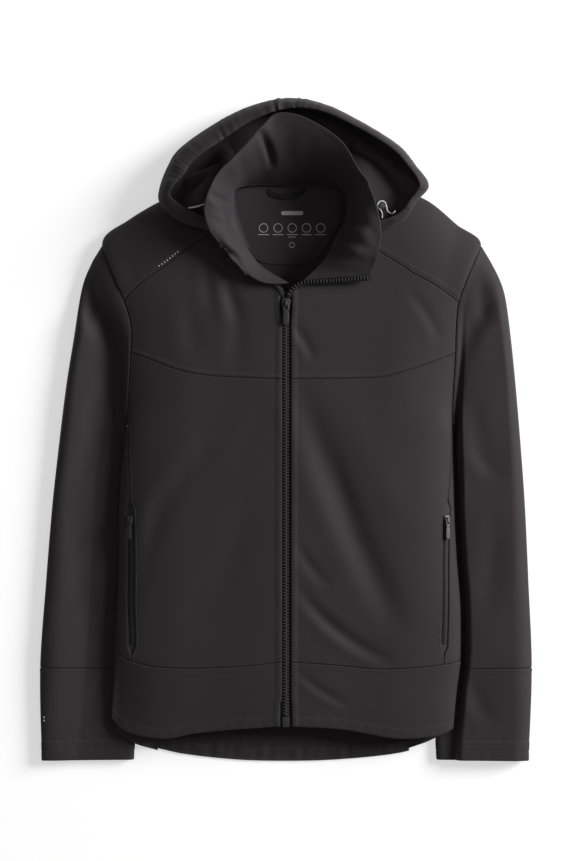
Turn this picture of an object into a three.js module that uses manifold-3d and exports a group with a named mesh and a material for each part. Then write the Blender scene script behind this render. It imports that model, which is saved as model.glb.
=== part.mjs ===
// A softshell jacket with a stand collar and a hood, zipped to the base of the collar and laid flat on its back.
// Frame: millimetres. +X points to the wearer's left, +Y from the hem to the hood, +Z up from the surface below.
// The origin lies on that surface, under the middle of the outline.
// Every cloth piece is a thin wall over a surface that is worked out from the section tables below.
import * as THREE from "three";
import { mergeVertices } from "three/addons/utils/BufferGeometryUtils.js";
import Module from "manifold-3d";

const wasm = await Module();
wasm.setup();

// Cloth
const CLOTH = 1.6; // one ply of bonded softshell
const TWO_PLY = 2.4; // collar and hood brim, which are sewn double
const GAP = 0.35; // between two pieces at a seam
const SEAM = GAP / 2;
const BEVEL = 0.6; // how much the hidden face of a piece stops short of its cut edge

// Body section, from the zip (q = 0) over the front to the side (q = 1) and under it to the back (q = 2)
const ZIP_HALF = 7.3; // from the zip's middle to the front's edge
const CROWN_RUN = 90; // how far in from the side the front begins to fall
const FLAT_SHARE = 0.55; // the part of q that lies on the level middle
const DOME = 3; // how much the level middle falls towards that line
const TURN_IN = 6; // radius in plan of the fold at the side
const TURN_SHARE = 0.2; // the part of the way under that is the fold

// The side of the body, from the hem to the tip of the shoulder. Over the armpit it is the armhole seam.
const BODY_SIDE = table(
  ["y", "left", "right", "edgeZ", "turn", "underZ", "underRun"],
  [
    [-400, 208, 222, 17, 90, 13.6, 60],
    [-360, 212, 220, 18, 90, 13.6, 60],
    [-328, 215, 218, 19, 90, 13.6, 60],
    [-296, 219, 216, 20, 90, 13.6, 60],
    [-265, 220, 215, 20, 90, 13.6, 60],
    [-214, 219, 212, 21, 90, 13.6, 60],
    [-164, 215, 210, 21, 90, 13.6, 60],
    [-107, 212, 210, 21, 90, 13.6, 60],
    [-63, 211, 208, 21, 90, 13.6, 60],
    [-30, 210, 204, 22, 90, 13.6, 56],
    [8, 209, 200, 24, 88, 12.6, 44],
    [44, 210, 198, 27, 64, 0, 10],
    [98, 213, 195, 30, 52, 0, 10],
    [131, 214, 195, 31, 50, 0, 10],
    [160, 217, 203, 31, 50, 0, 10],
    [186, 226, 214, 30, 50, 0, 10],
    [212, 237, 224, 24, 50, 0, 10],
    [232, 246, 232, 10, 50, 0, 10],
  ],
);
const ARMPIT_Y = 8;
const SHOULDER_TIP_Y = 232;
const TIP_Z = 10;
const CROWN = table(
  ["y", "z"],
  [
    [-400, 33],
    [-340, 39],
    [-260, 44],
    [-100, 48],
    [60, 48],
    [140, 46],
    [200, 43.5],
    [265, 41],
  ],
);

// Seams that cross the body, as the height y of the seam at each q
const FRONT_HEM = table(
  ["q", "left", "right"],
  [
    [0, -372, -372],
    [0.3, -376, -377],
    [0.5, -383, -382],
    [0.63, -388, -388],
    [0.8, -385, -380],
    [1, -376, -362],
    [1.3, -384, -384],
    [1.6, -394, -396],
    [2, -405, -405],
  ],
);
const HEM_SEAM = table(
  ["q", "left", "right"],
  [
    [0, -291, -291],
    [0.2, -294, -296],
    [0.5, -300, -299],
    [0.68, -298, -297],
    [0.82, -294, -289],
    [1, -290, -276],
    [1.4, -292, -288],
    [2, -295, -295],
  ],
);
const CHEST_SEAM = table(
  ["q", "left", "right"],
  [
    [0, 64, 64],
    [0.4, 65, 67],
    [0.56, 67, 70],
    [0.68, 75, 76],
    [0.85, 87, 89],
    [1, 97, 98],
  ],
);
const NECK_CORNER_Q = { left: 0.248, right: 0.229 }; // where the yoke seam meets the neck
const CHEST_TOP = table(
  ["q", "left", "right"],
  [
    [0, 178, 181],
    [0.06, 184, 191],
    [0.11, 196, 203],
    [0.165, 217, 220],
    [0.2, 237, 246],
    [0.229, 249, 266],
    [0.248, 252, 263],
    [0.43, 222, 235],
    [0.63, 197, 207],
    [0.8, 181, 187],
    [1, 160, 163],
  ],
  "straight",
);
const TAIL = table(
  ["x", "y"],
  [
    [-170, -400],
    [-130, -409],
    [-60, -416.5],
    [0, -418],
    [60, -416.5],
    [130, -410],
    [170, -402],
  ],
);

// The seam between front and side panel, measured in from the side, which holds the pocket
const SIDE_SEAM = table(
  ["y", "left", "right"],
  [
    [-310, 21, 22],
    [-262, 21, 22],
    [-214, 19, 17],
    [-107, 10, 14.5],
    [-63, 5, 12],
    [-30, 2, 6],
    [20, 0.5, 0.5],
  ],
  "straight",
);
const POCKET_TOP_Y = -100;
const POCKET_FOOT_Y = -270;
const POCKET_HALF = 4.6; // half the width of the open pocket, which the zip fills
const POCKET_TAPER = 14;

// Shoulder line of each yoke, from the neck to the tip of the shoulder
const SHOULDER_LINE = table(
  ["u", "leftX", "leftY", "rightX", "rightY"],
  [
    [0, 84, 310, 76, 313],
    [0.32, 131, 306, 121, 304],
    [0.62, 179, 289, 160, 288],
    [0.82, 219, 256, 204, 261],
    [1, 246, 232, 232, 232],
  ],
);
const SHOULDER_UNDER = 12; // how far the yoke turns under

// Sleeve rows from the armhole to the end of the cuff: outer edge, inner edge, height of the crown and of the inner side
const SLEEVE = {
  left: table(
    ["v", "outX", "outY", "inX", "inY", "crown", "inner"],
    [
      [0, 246, 232, 209.5, 8, 30, 24],
      [0.025, 251.5, 223, 210, 1, 32, 22],
      [0.06, 258, 212, 208.6, -12, 34, 18],
      [0.13, 270, 188, 204.6, -32, 37, 13],
      [0.2, 277, 164, 199.5, -54, 38, 11],
      [0.3, 284, 112, 195, -84, 38, 11],
      [0.4, 290, 52, 193, -120, 36, 11],
      [0.52, 296, -20, 189, -158, 34, 11],
      [0.64, 301.5, -98, 186, -206, 32, 11],
      [0.76, 306, -196, 184, -252, 31, 11],
      [0.86, 310, -298, 184, -300, 30, 11],
      [1, 306, -417, 190, -416, 25, 10.5],
    ],
  ),
  right: table(
    ["v", "outX", "outY", "inX", "inY", "crown", "inner"],
    [
      [0, 232, 232, 200.5, 8, 30, 24],
      [0.025, 237.5, 223, 201, 1, 32, 22],
      [0.06, 244, 212, 199.6, -12, 34, 18],
      [0.13, 254, 189, 197, -32, 37, 13],
      [0.2, 260, 164, 195, -54, 38, 11],
      [0.3, 268, 113, 191, -84, 38, 11],
      [0.4, 277, 57, 188, -120, 36, 11],
      [0.52, 286.5, -20, 186, -158, 34, 11],
      [0.64, 295, -98, 185, -206, 32, 11],
      [0.76, 303, -196, 185, -252, 31, 11],
      [0.86, 310, -298, 185, -300, 30, 11],
      [1, 308, -417, 192, -416, 25, 10.5],
    ],
  ),
};
const CUFF_SEAM_V = 0.862;
const SLEEVE_OUT_RUN = 44; // how far in from the outer edge the sleeve reaches its crown
const SLEEVE_IN_RUN = 9;
const SLEEVE_OUT_Z = 11; // height of the outer fold's middle
const SLEEVE_IN_Z = 5.5;
const SLEEVE_UNDER = 12; // how far the upper sleeve turns under on each side

// Stand collar, from the left front edge round the back to the right one: neck seam and top edge
const COLLAR = table(
  ["a", "baseX", "baseY", "baseZ", "topX", "topY", "topZ"],
  [
    [0, 21, 187.5, 47.6, 107, 193, 53],
    [0.05, 38, 203.5, 46.9, 112, 207, 58],
    [0.1, 53, 222, 46.4, 117, 226, 67],
    [0.15, 65.5, 243.5, 45.4, 119, 247, 76],
    [0.2, 73, 262, 43, 116, 265, 82],
    [0.25, 75.5, 281, 36, 111, 284, 84],
    [0.3, 72, 299, 22, 104, 303, 82],
    [0.35, 59, 307.2, 8, 91, 324, 76],
    [0.42, 36, 308, 4.6, 68, 362, 64],
    [0.5, 4, 308, 4.4, 22, 392, 52],
    [0.55, -15, 308, 4.4, -10, 397, 48],
    [0.6, -33, 308, 4.6, -29, 381, 54],
    [0.65, -51, 307.2, 8, -54, 350, 66],
    [0.7, -63.5, 302, 21, -80, 324, 76],
    [0.75, -64.4, 288, 34.5, -96, 297, 82],
    [0.8, -63.2, 270, 42.6, -102, 275, 80],
    [0.85, -57, 248, 45.4, -97, 251, 75],
    [0.9, -46.5, 226.5, 46.6, -87, 236, 70],
    [0.95, -29, 204.5, 47.2, -80, 227, 66],
    [1, 4, 184, 49.6, -75, 221, 62],
  ],
);
const COLLAR_FLARE = 0.16; // how far the collar bows up before it flares out, as a share of its width
const RIGHT_EDGE_BOW = 15; // how far the right front edge bows towards the hem

// Hood, folded back behind the collar: root at the neck, outline, rim of the face opening, lowest level between them
const HOOD = table(
  ["a", "rootX", "rootY", "rootZ", "outX", "outY", "outZ", "rimX", "rimY", "rimZ", "lowZ"],
  [
    [0, 86, 252, 46, 116, 250, 51, 106, 258, 60, 46],
    [0.06, 87, 260, 46, 147, 262, 49, 138, 269, 62, 43],
    [0.13, 88, 270, 45, 165, 287, 46, 155, 288, 64, 40],
    [0.2, 88, 284, 43, 179, 307, 40, 166, 306, 66, 33],
    [0.27, 86, 300, 38, 162, 333, 31, 153, 328, 64, 20],
    [0.34, 72, 313, 24, 141, 358, 25, 133, 351, 58, 9],
    [0.41, 48, 311.5, 5, 96, 387, 20, 90, 378, 52, 1],
    [0.47, 26, 310.6, 0.6, 49, 410, 18, 45, 399, 46, 0],
    [0.53, 2, 310.4, 0, 3, 418, 17, 3, 403, 42, 0],
    [0.59, -22, 310.6, 0.6, -45, 408, 17, -40, 389, 42, 0],
    [0.66, -44, 311.5, 4, -91, 385, 18, -80, 363, 45, 0],
    [0.73, -64, 314, 17, -134, 354, 22, -114, 339, 50, 4],
    [0.79, -78, 312, 30, -149, 331, 27, -128, 319, 54, 14],
    [0.85, -80, 300, 36, -159, 303, 33, -142, 303, 56, 24],
    [0.9, -80, 286, 42, -158, 284, 38, -143, 291, 57, 34],
    [0.95, -79, 272, 45, -135, 262, 46, -120, 275, 59, 42],
    [1, -80, 260, 47, -98, 249, 52, -92, 262, 62, 46],
  ],
);
const HOOD_TURN = 22; // how far in from the outline the hood meets its lowest level
const HOOD_LIFT = 3.2; // how far the hood stays above the shoulder it crosses
const HOOD_BRIM_T = 0.14; // where the brim is sewn to the panels, on the way from outline to rim
const HOOD_SEAMS = [0.4, 0.64]; // centre panel between the two side panels

// Folds of the cloth: start, end, depth, half width and sideways bow. A minus depth is a ridge.
const BODY_FOLDS = folds([
  [26, 30, 120, -210, 5, 16, 26],
  [14, -150, 118, -262, 5, 13, -14],
  [18, -196, 92, -238, 3.5, 9, -8],
  [14, -300, 78, -352, 3.5, 10, -5],
  [16, -260, 40, -330, 2, 7, 4],
  [72, 60, 150, -120, -3, 22, 10],
  [-120, 170, -108, 84, 3, 13, 4],
  [-62, 166, -66, 70, 3, 12, -4],
  [-88, -20, -170, -150, 4, 15, 14],
  [-48, -80, -120, -250, 2.5, 20, -12],
  [128, 176, 176, 104, 3.5, 11, -8],
]);
const SLEEVE_FOLDS = folds([
  [222, 96, 276, 176, 4, 12, -10],
  [236, 40, 262, -60, 3, 13, 6],
  [258, -90, 250, -250, 2.5, 14, -6],
  [228, -300, 262, -372, 2.5, 11, 5],
  [246, 190, 252, 130, 3, 8, 3],
]);

// Zips
const TAPE_HALF = 6.9;
const POCKET_TAPE_HALF = 4.2;
const TAPE = 1;
const TAPE_SINK = 0.8; // how far the tape lies under the cloth beside it
const CHAIN_HALF = 3.4;
const CHAIN = 2; // how far the teeth stand over the tape
const ZIP_FOOT_Y = -359;
const ZIP_TOP_Y = 150;
const BOX_LONG = 13;
const POCKET_SLIDER_Y = -113;
const STRIP_WIDTH = 5.4; // one open half of the zip
const STRIP = 1.5;

// Sliders and their pulls, in the frame of their zip: bottom, top and rise are heights over the tape
const FRONT_SLIDER = {
  half: 5.6,
  long: 15,
  bottom: -2,
  top: 3.2,
  arch: 5,
  archWidth: 2.6,
  leg: 1.5,
  rise: 2.7,
  pullThick: 1.5,
  pullHalf: 3.8,
  eye: 7,
  pullLong: 26,
};
const POCKET_SLIDER = {
  half: 3.7,
  long: 11,
  bottom: -1.6,
  top: 2.8,
  arch: 3.8,
  archWidth: 2,
  leg: 1.2,
  rise: 2.4,
  pullThick: 1.3,
  pullHalf: 2.9,
  eye: 5.4,
  pullLong: 24,
};

// The two open halves of the zip, from the slider along the collar's front edges, as x, y, z
const OPEN_ZIP = {
  left: [
    [3.4, 166.4, 46.2],
    [6, 173, 47.2],
    [14, 180.2, 48.2],
    [24, 184.2, 49],
    [50, 185.8, 50.4],
    [78, 187.6, 51.9],
    [107, 189.4, 53],
  ],
  right: [
    [-3.4, 166.4, 46],
    [-5, 174.5, 46.6],
    [-15, 184, 46.3],
    [-33, 191, 47.2],
    [-50, 199, 49.6],
    [-63, 208, 52.5],
    [-74, 216, 55],
  ],
};

// Neck
const FACING = 1;
const FACING_HALF = 56;
const FACING_FOOT_Y = 209;
const LOOP_WIDTH = 5;
const HANGER_LOOP = [
  [-23, 303.5, 4.2],
  [-17, 298, 5.4],
  [0, 294.5, 6.4],
  [17, 298, 5.4],
  [24, 303.5, 4.2],
];

// Free cords of the hood, from where each leaves the brim, as x, y, z
const CORD_RADIUS = 0.9;
const CORD_SIDES = 8;
const CORD_LEFT = [
  [136.5, 273.4, 58.5],
  [132, 270.5, 55],
  [127, 274, 51],
  [125.6, 280, 48.5],
  [124, 284.6, 47.6],
  [119.8, 286.6, 47.2],
  [115.6, 284.4, 47],
  [115, 279.4, 47],
  [118.4, 275.4, 47.6],
  [120.3, 271, 48.4],
  [120.3, 264.6, 49],
];
const CORD_RIGHT = [
  [-122.2, 277.3, 56.4],
  [-112.5, 278.8, 57.4],
  [-105.6, 281, 56.5],
  [-97, 284, 54],
  [-89, 286, 51.5],
];
const LOCK_PLACE = [120.3, 280.6, 47];
const LOCK_RADIUS = 3.8;
const LOCK_HEIGHT = 5;

const X_AXIS = new THREE.Vector3(1, 0, 0);
const Y_AXIS = new THREE.Vector3(0, 1, 0);
const Z_AXIS = new THREE.Vector3(0, 0, 1);

// A named table with one row for each section
function table(columns, rows, kind = "smooth") {
  return { columns, rows, kind };
}

// The value of a column at a place along the table's first column, through a cubic with level ends or straight lines
function at(source, column, place) {
  const c = source.columns.indexOf(column);
  const { rows } = source;
  const last = rows.length - 1;
  if (place <= rows[0][0]) return rows[0][c];
  if (place >= rows[last][0]) return rows[last][c];
  let i = 0;
  while (rows[i + 1][0] < place) i++;
  const span = rows[i + 1][0] - rows[i][0];
  const t = (place - rows[i][0]) / span;
  if (source.kind === "straight") return lerp(rows[i][c], rows[i + 1][c], t);
  const slope = (k) => {
    const before = Math.max(k - 1, 0);
    const after = Math.min(k + 1, last);
    return (rows[after][c] - rows[before][c]) / (rows[after][0] - rows[before][0]);
  };
  const [p, r] = [rows[i][c], rows[i + 1][c]];
  const [m, n] = [slope(i) * span, slope(i + 1) * span];
  const cubic = 2 * t ** 3 - 3 * t ** 2;
  return p * (cubic + 1) + m * (t ** 3 - 2 * t ** 2 + t) - r * cubic + n * (t ** 3 - t ** 2);
}

function folds(rows) {
  const columns = ["x0", "y0", "x1", "y1", "depth", "half", "bow"];
  return rows.map((row) => Object.fromEntries(columns.map((name, i) => [name, row[i]])));
}

function lerp(a, b, t) {
  return a + (b - a) * t;
}

function clamp01(t) {
  return Math.min(Math.max(t, 0), 1);
}

function smooth(from, to, value) {
  const t = clamp01((value - from) / (to - from));
  return t * t * (3 - 2 * t);
}

function steps(from, to, count) {
  return Array.from({ length: count }, (_, i) => lerp(from, to, i / (count - 1)));
}

function sign(side) {
  return side === "left" ? 1 : -1;
}

// How far the folds push the cloth down at a place: a trough along a bowed line, with a low ridge beside it
function foldDrop(list, x, y) {
  let drop = 0;
  for (const fold of list) {
    const along = new THREE.Vector2(fold.x1 - fold.x0, fold.y1 - fold.y0);
    const long = along.length();
    along.divideScalar(long);
    const [dx, dy] = [x - fold.x0, y - fold.y0];
    const t = (dx * along.x + dy * along.y) / long;
    if (t <= 0 || t >= 1) continue;
    const away = dx * along.y - dy * along.x - fold.bow * 4 * t * (1 - t);
    const fade = Math.sin(Math.PI * t) ** 0.8;
    const trough = Math.exp(-((away / fold.half) ** 2));
    const ridge = Math.exp(-(((away - 1.7 * fold.half) / fold.half) ** 2));
    drop += fold.depth * fade * (trough - 0.45 * ridge);
  }
  return drop;
}

// A point of the body's outer surface
function bodyPoint(side, q, y) {
  const edge = at(BODY_SIDE, side, y);
  const edgeZ = armholeZ(side, y);
  const crown = at(CROWN, "z", y);
  let [x, z] = [edge, edgeZ];
  if (q <= 1) {
    const turn = THREE.MathUtils.degToRad(at(BODY_SIDE, "turn", y));
    const level = edge - CROWN_RUN;
    if (q <= FLAT_SHARE) {
      const share = q / FLAT_SHARE;
      x = lerp(ZIP_HALF, level, share);
      z = crown - DOME * smooth(0, 1, share);
    } else {
      const angle = ((q - FLAT_SHARE) / (1 - FLAT_SHARE)) * turn;
      x = level + (CROWN_RUN * Math.sin(angle)) / Math.sin(turn);
      z = lerp(edgeZ, crown - DOME, (Math.cos(angle) - Math.cos(turn)) / (1 - Math.cos(turn)));
    }
    z -= foldDrop(BODY_FOLDS, sign(side) * x, y) * (1 - smooth(0.86, 1, q));
  } else {
    const underZ = at(BODY_SIDE, "underZ", y);
    const run = at(BODY_SIDE, "underRun", y);
    const t = q - 1;
    if (t <= TURN_SHARE) {
      const angle = ((t / TURN_SHARE) * Math.PI) / 2;
      x = edge - TURN_IN * (1 - Math.cos(angle));
      z = lerp(edgeZ, underZ, Math.sin(angle));
    } else {
      const inset = lerp(TURN_IN, run, (t - TURN_SHARE) / (1 - TURN_SHARE));
      x = edge - inset;
      z = underZ * (1 - smooth(0.5 * run, 0.97 * run, inset));
    }
  }
  return new THREE.Vector3(sign(side) * x, y, z);
}

// Height of the side edge. Over the yoke seam it falls to the shoulder's tip along a quarter of an ellipse.
function armholeZ(side, y) {
  const foot = at(CHEST_TOP, side, 1);
  if (y <= foot) return at(BODY_SIDE, "edgeZ", y);
  const share = clamp01((y - foot) / (SHOULDER_TIP_Y - foot));
  return lerp(TIP_Z, at(BODY_SIDE, "edgeZ", foot), Math.sqrt(1 - share * share));
}

// q of a line that lies a distance in from the side edge, on the falling part of the front
function qInFrom(y, inset) {
  const turn = THREE.MathUtils.degToRad(at(BODY_SIDE, "turn", y));
  const angle = Math.asin(clamp01(1 - inset / CROWN_RUN) * Math.sin(turn));
  return FLAT_SHARE + ((1 - FLAT_SHARE) * angle) / turn;
}

// Half the gap between front and side panel at the pocket, which closes above and below it
function pocketHalf(y) {
  const above = 1 - smooth(POCKET_TOP_Y, POCKET_TOP_Y + POCKET_TAPER, y);
  const below = smooth(POCKET_FOOT_Y - POCKET_TAPER, POCKET_FOOT_Y, y);
  return SEAM + (POCKET_HALF - SEAM) * above * below;
}

// A closed wall over a grid of surface points. The thickness goes to the inside, which is the side away from `out`.
function wall(surface, us, vs, thickness, out) {
  const [nu, nv] = [us.length, vs.length];
  const step = 1e-4;
  const spanU = us[nu - 1] - us[0];
  const spanV = vs[nv - 1] - vs[0];
  const outer = [];
  const inner = [];
  vs.forEach((v, j) =>
    us.forEach((u, i) => {
      const du = i === nu - 1 ? -step * spanU : step * spanU;
      const dv = j === nv - 1 ? -step * spanV : step * spanV;
      const p = surface(u, v);
      const alongU = surface(u + du, v).sub(p).divideScalar(du);
      const alongV = surface(u, v + dv).sub(p).divideScalar(dv);
      const shortU = i === 0 ? BEVEL : i === nu - 1 ? -BEVEL : 0;
      const shortV = j === 0 ? BEVEL : j === nv - 1 ? -BEVEL : 0;
      const hidden = surface(u + shortU / alongU.length(), v + shortV / alongV.length());
      const normal = alongU.cross(alongV).normalize().multiplyScalar(out);
      outer.push(p);
      inner.push(hidden.addScaledVector(normal, -thickness));
    }),
  );
  const count = nu * nv;
  const faces = [];
  const quad = (a, b, c, d) => faces.push(a, b, c, a, c, d);
  for (let j = 0; j < nv - 1; j++)
    for (let i = 0; i < nu - 1; i++) {
      const [a, b, c, d] = [j * nu + i, j * nu + i + 1, (j + 1) * nu + i + 1, (j + 1) * nu + i];
      quad(a, b, c, d);
      quad(count + a, count + d, count + c, count + b);
    }
  const rim = (a, b) => quad(b, a, count + a, count + b);
  for (let i = 0; i < nu - 1; i++) {
    rim(i, i + 1);
    rim((nv - 1) * nu + i + 1, (nv - 1) * nu + i);
  }
  for (let j = 0; j < nv - 1; j++) {
    rim((j + 1) * nu, j * nu);
    rim(j * nu + nu - 1, (j + 1) * nu + nu - 1);
  }
  return closed([...outer, ...inner], faces);
}

// A geometry with its faces pointing out, whichever way the grid ran
function closed(points, faces) {
  let volume = 0;
  for (let i = 0; i < faces.length; i += 3) {
    const [a, b, c] = [points[faces[i]], points[faces[i + 1]], points[faces[i + 2]]];
    volume += a.dot(b.clone().cross(c));
  }
  if (volume < 0)
    for (let i = 0; i < faces.length; i += 3) [faces[i], faces[i + 1]] = [faces[i + 1], faces[i]];
  const geometry = new THREE.BufferGeometry().setFromPoints(points);
  geometry.setIndex(faces);
  return geometry;
}

// A flat strip along a path, level across it
function ribbon(path, width, thickness) {
  const profile = [
    [width / 2, 0],
    [-width / 2, 0],
    [-width / 2, -thickness],
    [width / 2, -thickness],
  ].map(([x, z]) => new THREE.Vector2(x, z));
  const points = path.flatMap((p, i) => {
    const ahead = path[Math.min(i + 1, path.length - 1)].clone().sub(path[Math.max(i - 1, 0)]);
    const across = new THREE.Vector3(-ahead.y, ahead.x, 0).normalize();
    return profile.map((q) => p.clone().addScaledVector(across, q.x).addScaledVector(Z_AXIS, q.y));
  });
  return loft(points, profile);
}

// A solid through rings of points that follow a flat profile, with flat ends
function loft(points, profile) {
  const ring = profile.length;
  const rows = points.length / ring;
  const faces = [];
  for (let j = 0; j < rows - 1; j++)
    for (let i = 0; i < ring; i++) {
      const next = (i + 1) % ring;
      const [a, b, c, d] = [j * ring + i, j * ring + next, (j + 1) * ring + next, (j + 1) * ring + i];
      faces.push(a, b, c, a, c, d);
    }
  const end = (rows - 1) * ring;
  const clockwise = THREE.ShapeUtils.isClockWise(profile);
  for (const [a, b, c] of THREE.ShapeUtils.triangulateShape(profile, [])) {
    if (clockwise) faces.push(a, b, c, end + c, end + b, end + a);
    else faces.push(c, b, a, end + a, end + b, end + c);
  }
  return closed(points, faces);
}

function solid(geometry) {
  const bare = geometry.clone();
  for (const name of Object.keys(bare.attributes)) if (name !== "position") bare.deleteAttribute(name);
  const merged = mergeVertices(bare);
  const source = { numProp: 3, vertProperties: merged.attributes.position.array, triVerts: merged.index.array };
  return new wasm.Manifold(new wasm.Mesh(source));
}

function geometryOf(body) {
  const mesh = body.getMesh();
  const geometry = new THREE.BufferGeometry();
  geometry.setAttribute("position", new THREE.BufferAttribute(mesh.vertProperties, 3));
  geometry.setIndex(new THREE.BufferAttribute(mesh.triVerts, 1));
  return geometry;
}

const MATERIALS = {
  softshell: new THREE.MeshStandardMaterial({ color: 0x2b282a, roughness: 0.82, metalness: 0 }),
  lining: new THREE.MeshStandardMaterial({ color: 0x343133, roughness: 0.9, metalness: 0 }),
  zip: new THREE.MeshStandardMaterial({ color: 0x18181a, roughness: 0.5, metalness: 0 }),
  metal: new THREE.MeshStandardMaterial({ color: 0x2a2b2c, roughness: 0.35, metalness: 0.6 }),
  cord: new THREE.MeshStandardMaterial({ color: 0xe4e4e2, roughness: 0.6, metalness: 0 }),
  lock: new THREE.MeshStandardMaterial({ color: 0x6d6e70, roughness: 0.5, metalness: 0 }),
};

const jacket = new THREE.Group();

function add(name, geometry, material, place = null) {
  const mesh = new THREE.Mesh(geometry, MATERIALS[material]);
  mesh.name = name;
  if (place) mesh.applyMatrix4(place);
  jacket.add(mesh);
}

// Places across the front that its pieces share, so that their cut edges run side by side
const frontPlaces = (side) => [0, 0.06, 0.11, 0.165, 0.2, NECK_CORNER_Q[side], 0.36, 0.47, 0.56, 0.68, 0.8, 0.9, 1];
const LAST_Q = 0.998; // the end of the front at the armhole
const FLANK_PLACES = [0, 0.12, 0.2, 0.28, 0.36, 0.5, 0.64, 0.76, 0.88, 1];
const FLANK_ROWS = steps(0, 1, 13);
const FLANK_TOP_Y = ARMPIT_Y - 3;
const FLANK_SHARE = 0.8; // the part of the front's height that has the side panel beside it

function sideSeamQ(side, y, offset) {
  return qInFrom(y, at(SIDE_SEAM, side, y) + offset);
}

// Front, chest, side and hem band of one side
function bodyPanels(side) {
  const out = sign(side);
  const between = (low, high) => (q, v) => {
    const foot = at(low, side, q) + SEAM;
    const head = at(high, side, q) - SEAM;
    return bodyPoint(side, q, lerp(foot, head, v));
  };
  const places = frontPlaces(side);
  const chest = between(CHEST_SEAM, CHEST_TOP);
  const chestPlaces = places.map((q) => q * LAST_Q);
  add(`chest_${side}`, wall(chest, chestPlaces, steps(0, 1, 9), CLOTH, out), "softshell");

  // The front ends at the pocket's near side, and the side panel starts at its far side.
  const seamFootY = at(HEM_SEAM, side, 0.85);
  const footQ = sideSeamQ(side, seamFootY, SEAM);
  const front = (u, v) => {
    const foot = at(HEM_SEAM, side, u * footQ) + SEAM;
    const head = at(CHEST_SEAM, side, u * LAST_Q) - SEAM;
    if (v > FLANK_SHARE) {
      const share = (v - FLANK_SHARE) / (1 - FLANK_SHARE);
      const start = sideSeamQ(side, FLANK_TOP_Y, pocketHalf(FLANK_TOP_Y));
      const endQ = lerp(start, LAST_Q, smooth(0, 0.5, share));
      return bodyPoint(side, u * endQ, lerp(FLANK_TOP_Y, head, share));
    }
    const y = lerp(foot, FLANK_TOP_Y, v / FLANK_SHARE);
    return bodyPoint(side, u * sideSeamQ(side, y, pocketHalf(y)), y);
  };
  const rows = [...FLANK_ROWS.map((v) => v * FLANK_SHARE), 0.85, 0.9, 0.95, 1];
  add(`front_${side}`, wall(front, places, rows, CLOTH, out), "softshell");

  const flank = (u, v) => {
    const startQ = sideSeamQ(side, seamFootY, -SEAM);
    const foot = at(HEM_SEAM, side, lerp(startQ, 2, u)) + SEAM;
    const y = lerp(foot, FLANK_TOP_Y - 2 * GAP, v);
    return bodyPoint(side, lerp(sideSeamQ(side, y, -pocketHalf(y)), 2, u), y);
  };
  add(`side_${side}`, wall(flank, FLANK_PLACES, FLANK_ROWS, CLOTH, out), "softshell");

  const bandPlaces = [...places.map((u) => u * footQ), ...FLANK_PLACES.slice(1).map((u) => lerp(footQ, 2, u))];
  add(`hem_band_${side}`, wall(between(FRONT_HEM, HEM_SEAM), bandPlaces, steps(0, 1, 4), CLOTH, out), "softshell");
}

// Yoke from its seam over the shoulder, turned under at the shoulder line. v runs past 1 on the turn.
const YOKE_END = 1.3;

function yokePoint(side, u, v) {
  const q = lerp(NECK_CORNER_Q[side], LAST_Q, u);
  const seam = bodyPoint(side, q, at(CHEST_TOP, side, q) + SEAM);
  const get = (column) => at(SHOULDER_LINE, side + column, u);
  const line = new THREE.Vector3(sign(side) * get("X"), get("Y"), TIP_Z);
  const share = (Math.min(v, 1) * Math.PI) / 2;
  const point = seam.clone().lerp(line, Math.sin(share));
  point.z = lerp(TIP_Z, seam.z, Math.cos(share));
  const armhole = sign(side) * (at(BODY_SIDE, side, point.y) - SEAM);
  point.x = lerp(point.x, armhole, smooth(0.8, 1, u) * smooth(0, 0.12, v));
  if (v > 1) {
    const angle = ((v - 1) / (YOKE_END - 1)) * (Math.PI / 2);
    const inward = seam.clone().sub(line).setZ(0).normalize();
    point.addScaledVector(inward, SHOULDER_UNDER * (1 - Math.cos(angle)));
    point.z = TIP_Z * (1 - Math.sin(angle));
  }
  return point;
}

function yoke(side) {
  const vs = [...steps(0, 0.9, 6), 1, 1.1, 1.2, YOKE_END];
  const corner = NECK_CORNER_Q[side];
  const us = frontPlaces(side)
    .filter((q) => q >= corner)
    .map((q) => Math.max((q * LAST_Q - corner) / (LAST_Q - corner), 0));
  const surface = (u, v) => yokePoint(side, u, v);
  add(`yoke_${side}`, wall(surface, us, vs, CLOTH, sign(side)), "softshell");
}

// A place of the sleeve seen from above: `across` runs from the outer edge (0) to the inner edge (1)
function sleevePlan(side, across, v) {
  const get = (column) => at(SLEEVE[side], column, v);
  const plan = new THREE.Vector2(lerp(get("outX"), get("inX"), across), lerp(get("outY"), get("inY"), across));
  const start = SLEEVE[side].rows[0];
  const armY = lerp(SHOULDER_TIP_Y, ARMPIT_Y, across);
  const armX = at(BODY_SIDE, side, armY) + GAP;
  const fade = lerp(0.36, 0.06, smooth(0.5, 1, across));
  plan.x += (armX - lerp(start[1], start[3], across)) * (1 - smooth(0, fade, v));
  return plan;
}

// Upper sleeve: c runs from the outer fold (0) over the crown to the inner fold (1), and past both on the turns
const SLEEVE_TURN = 0.16;

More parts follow.
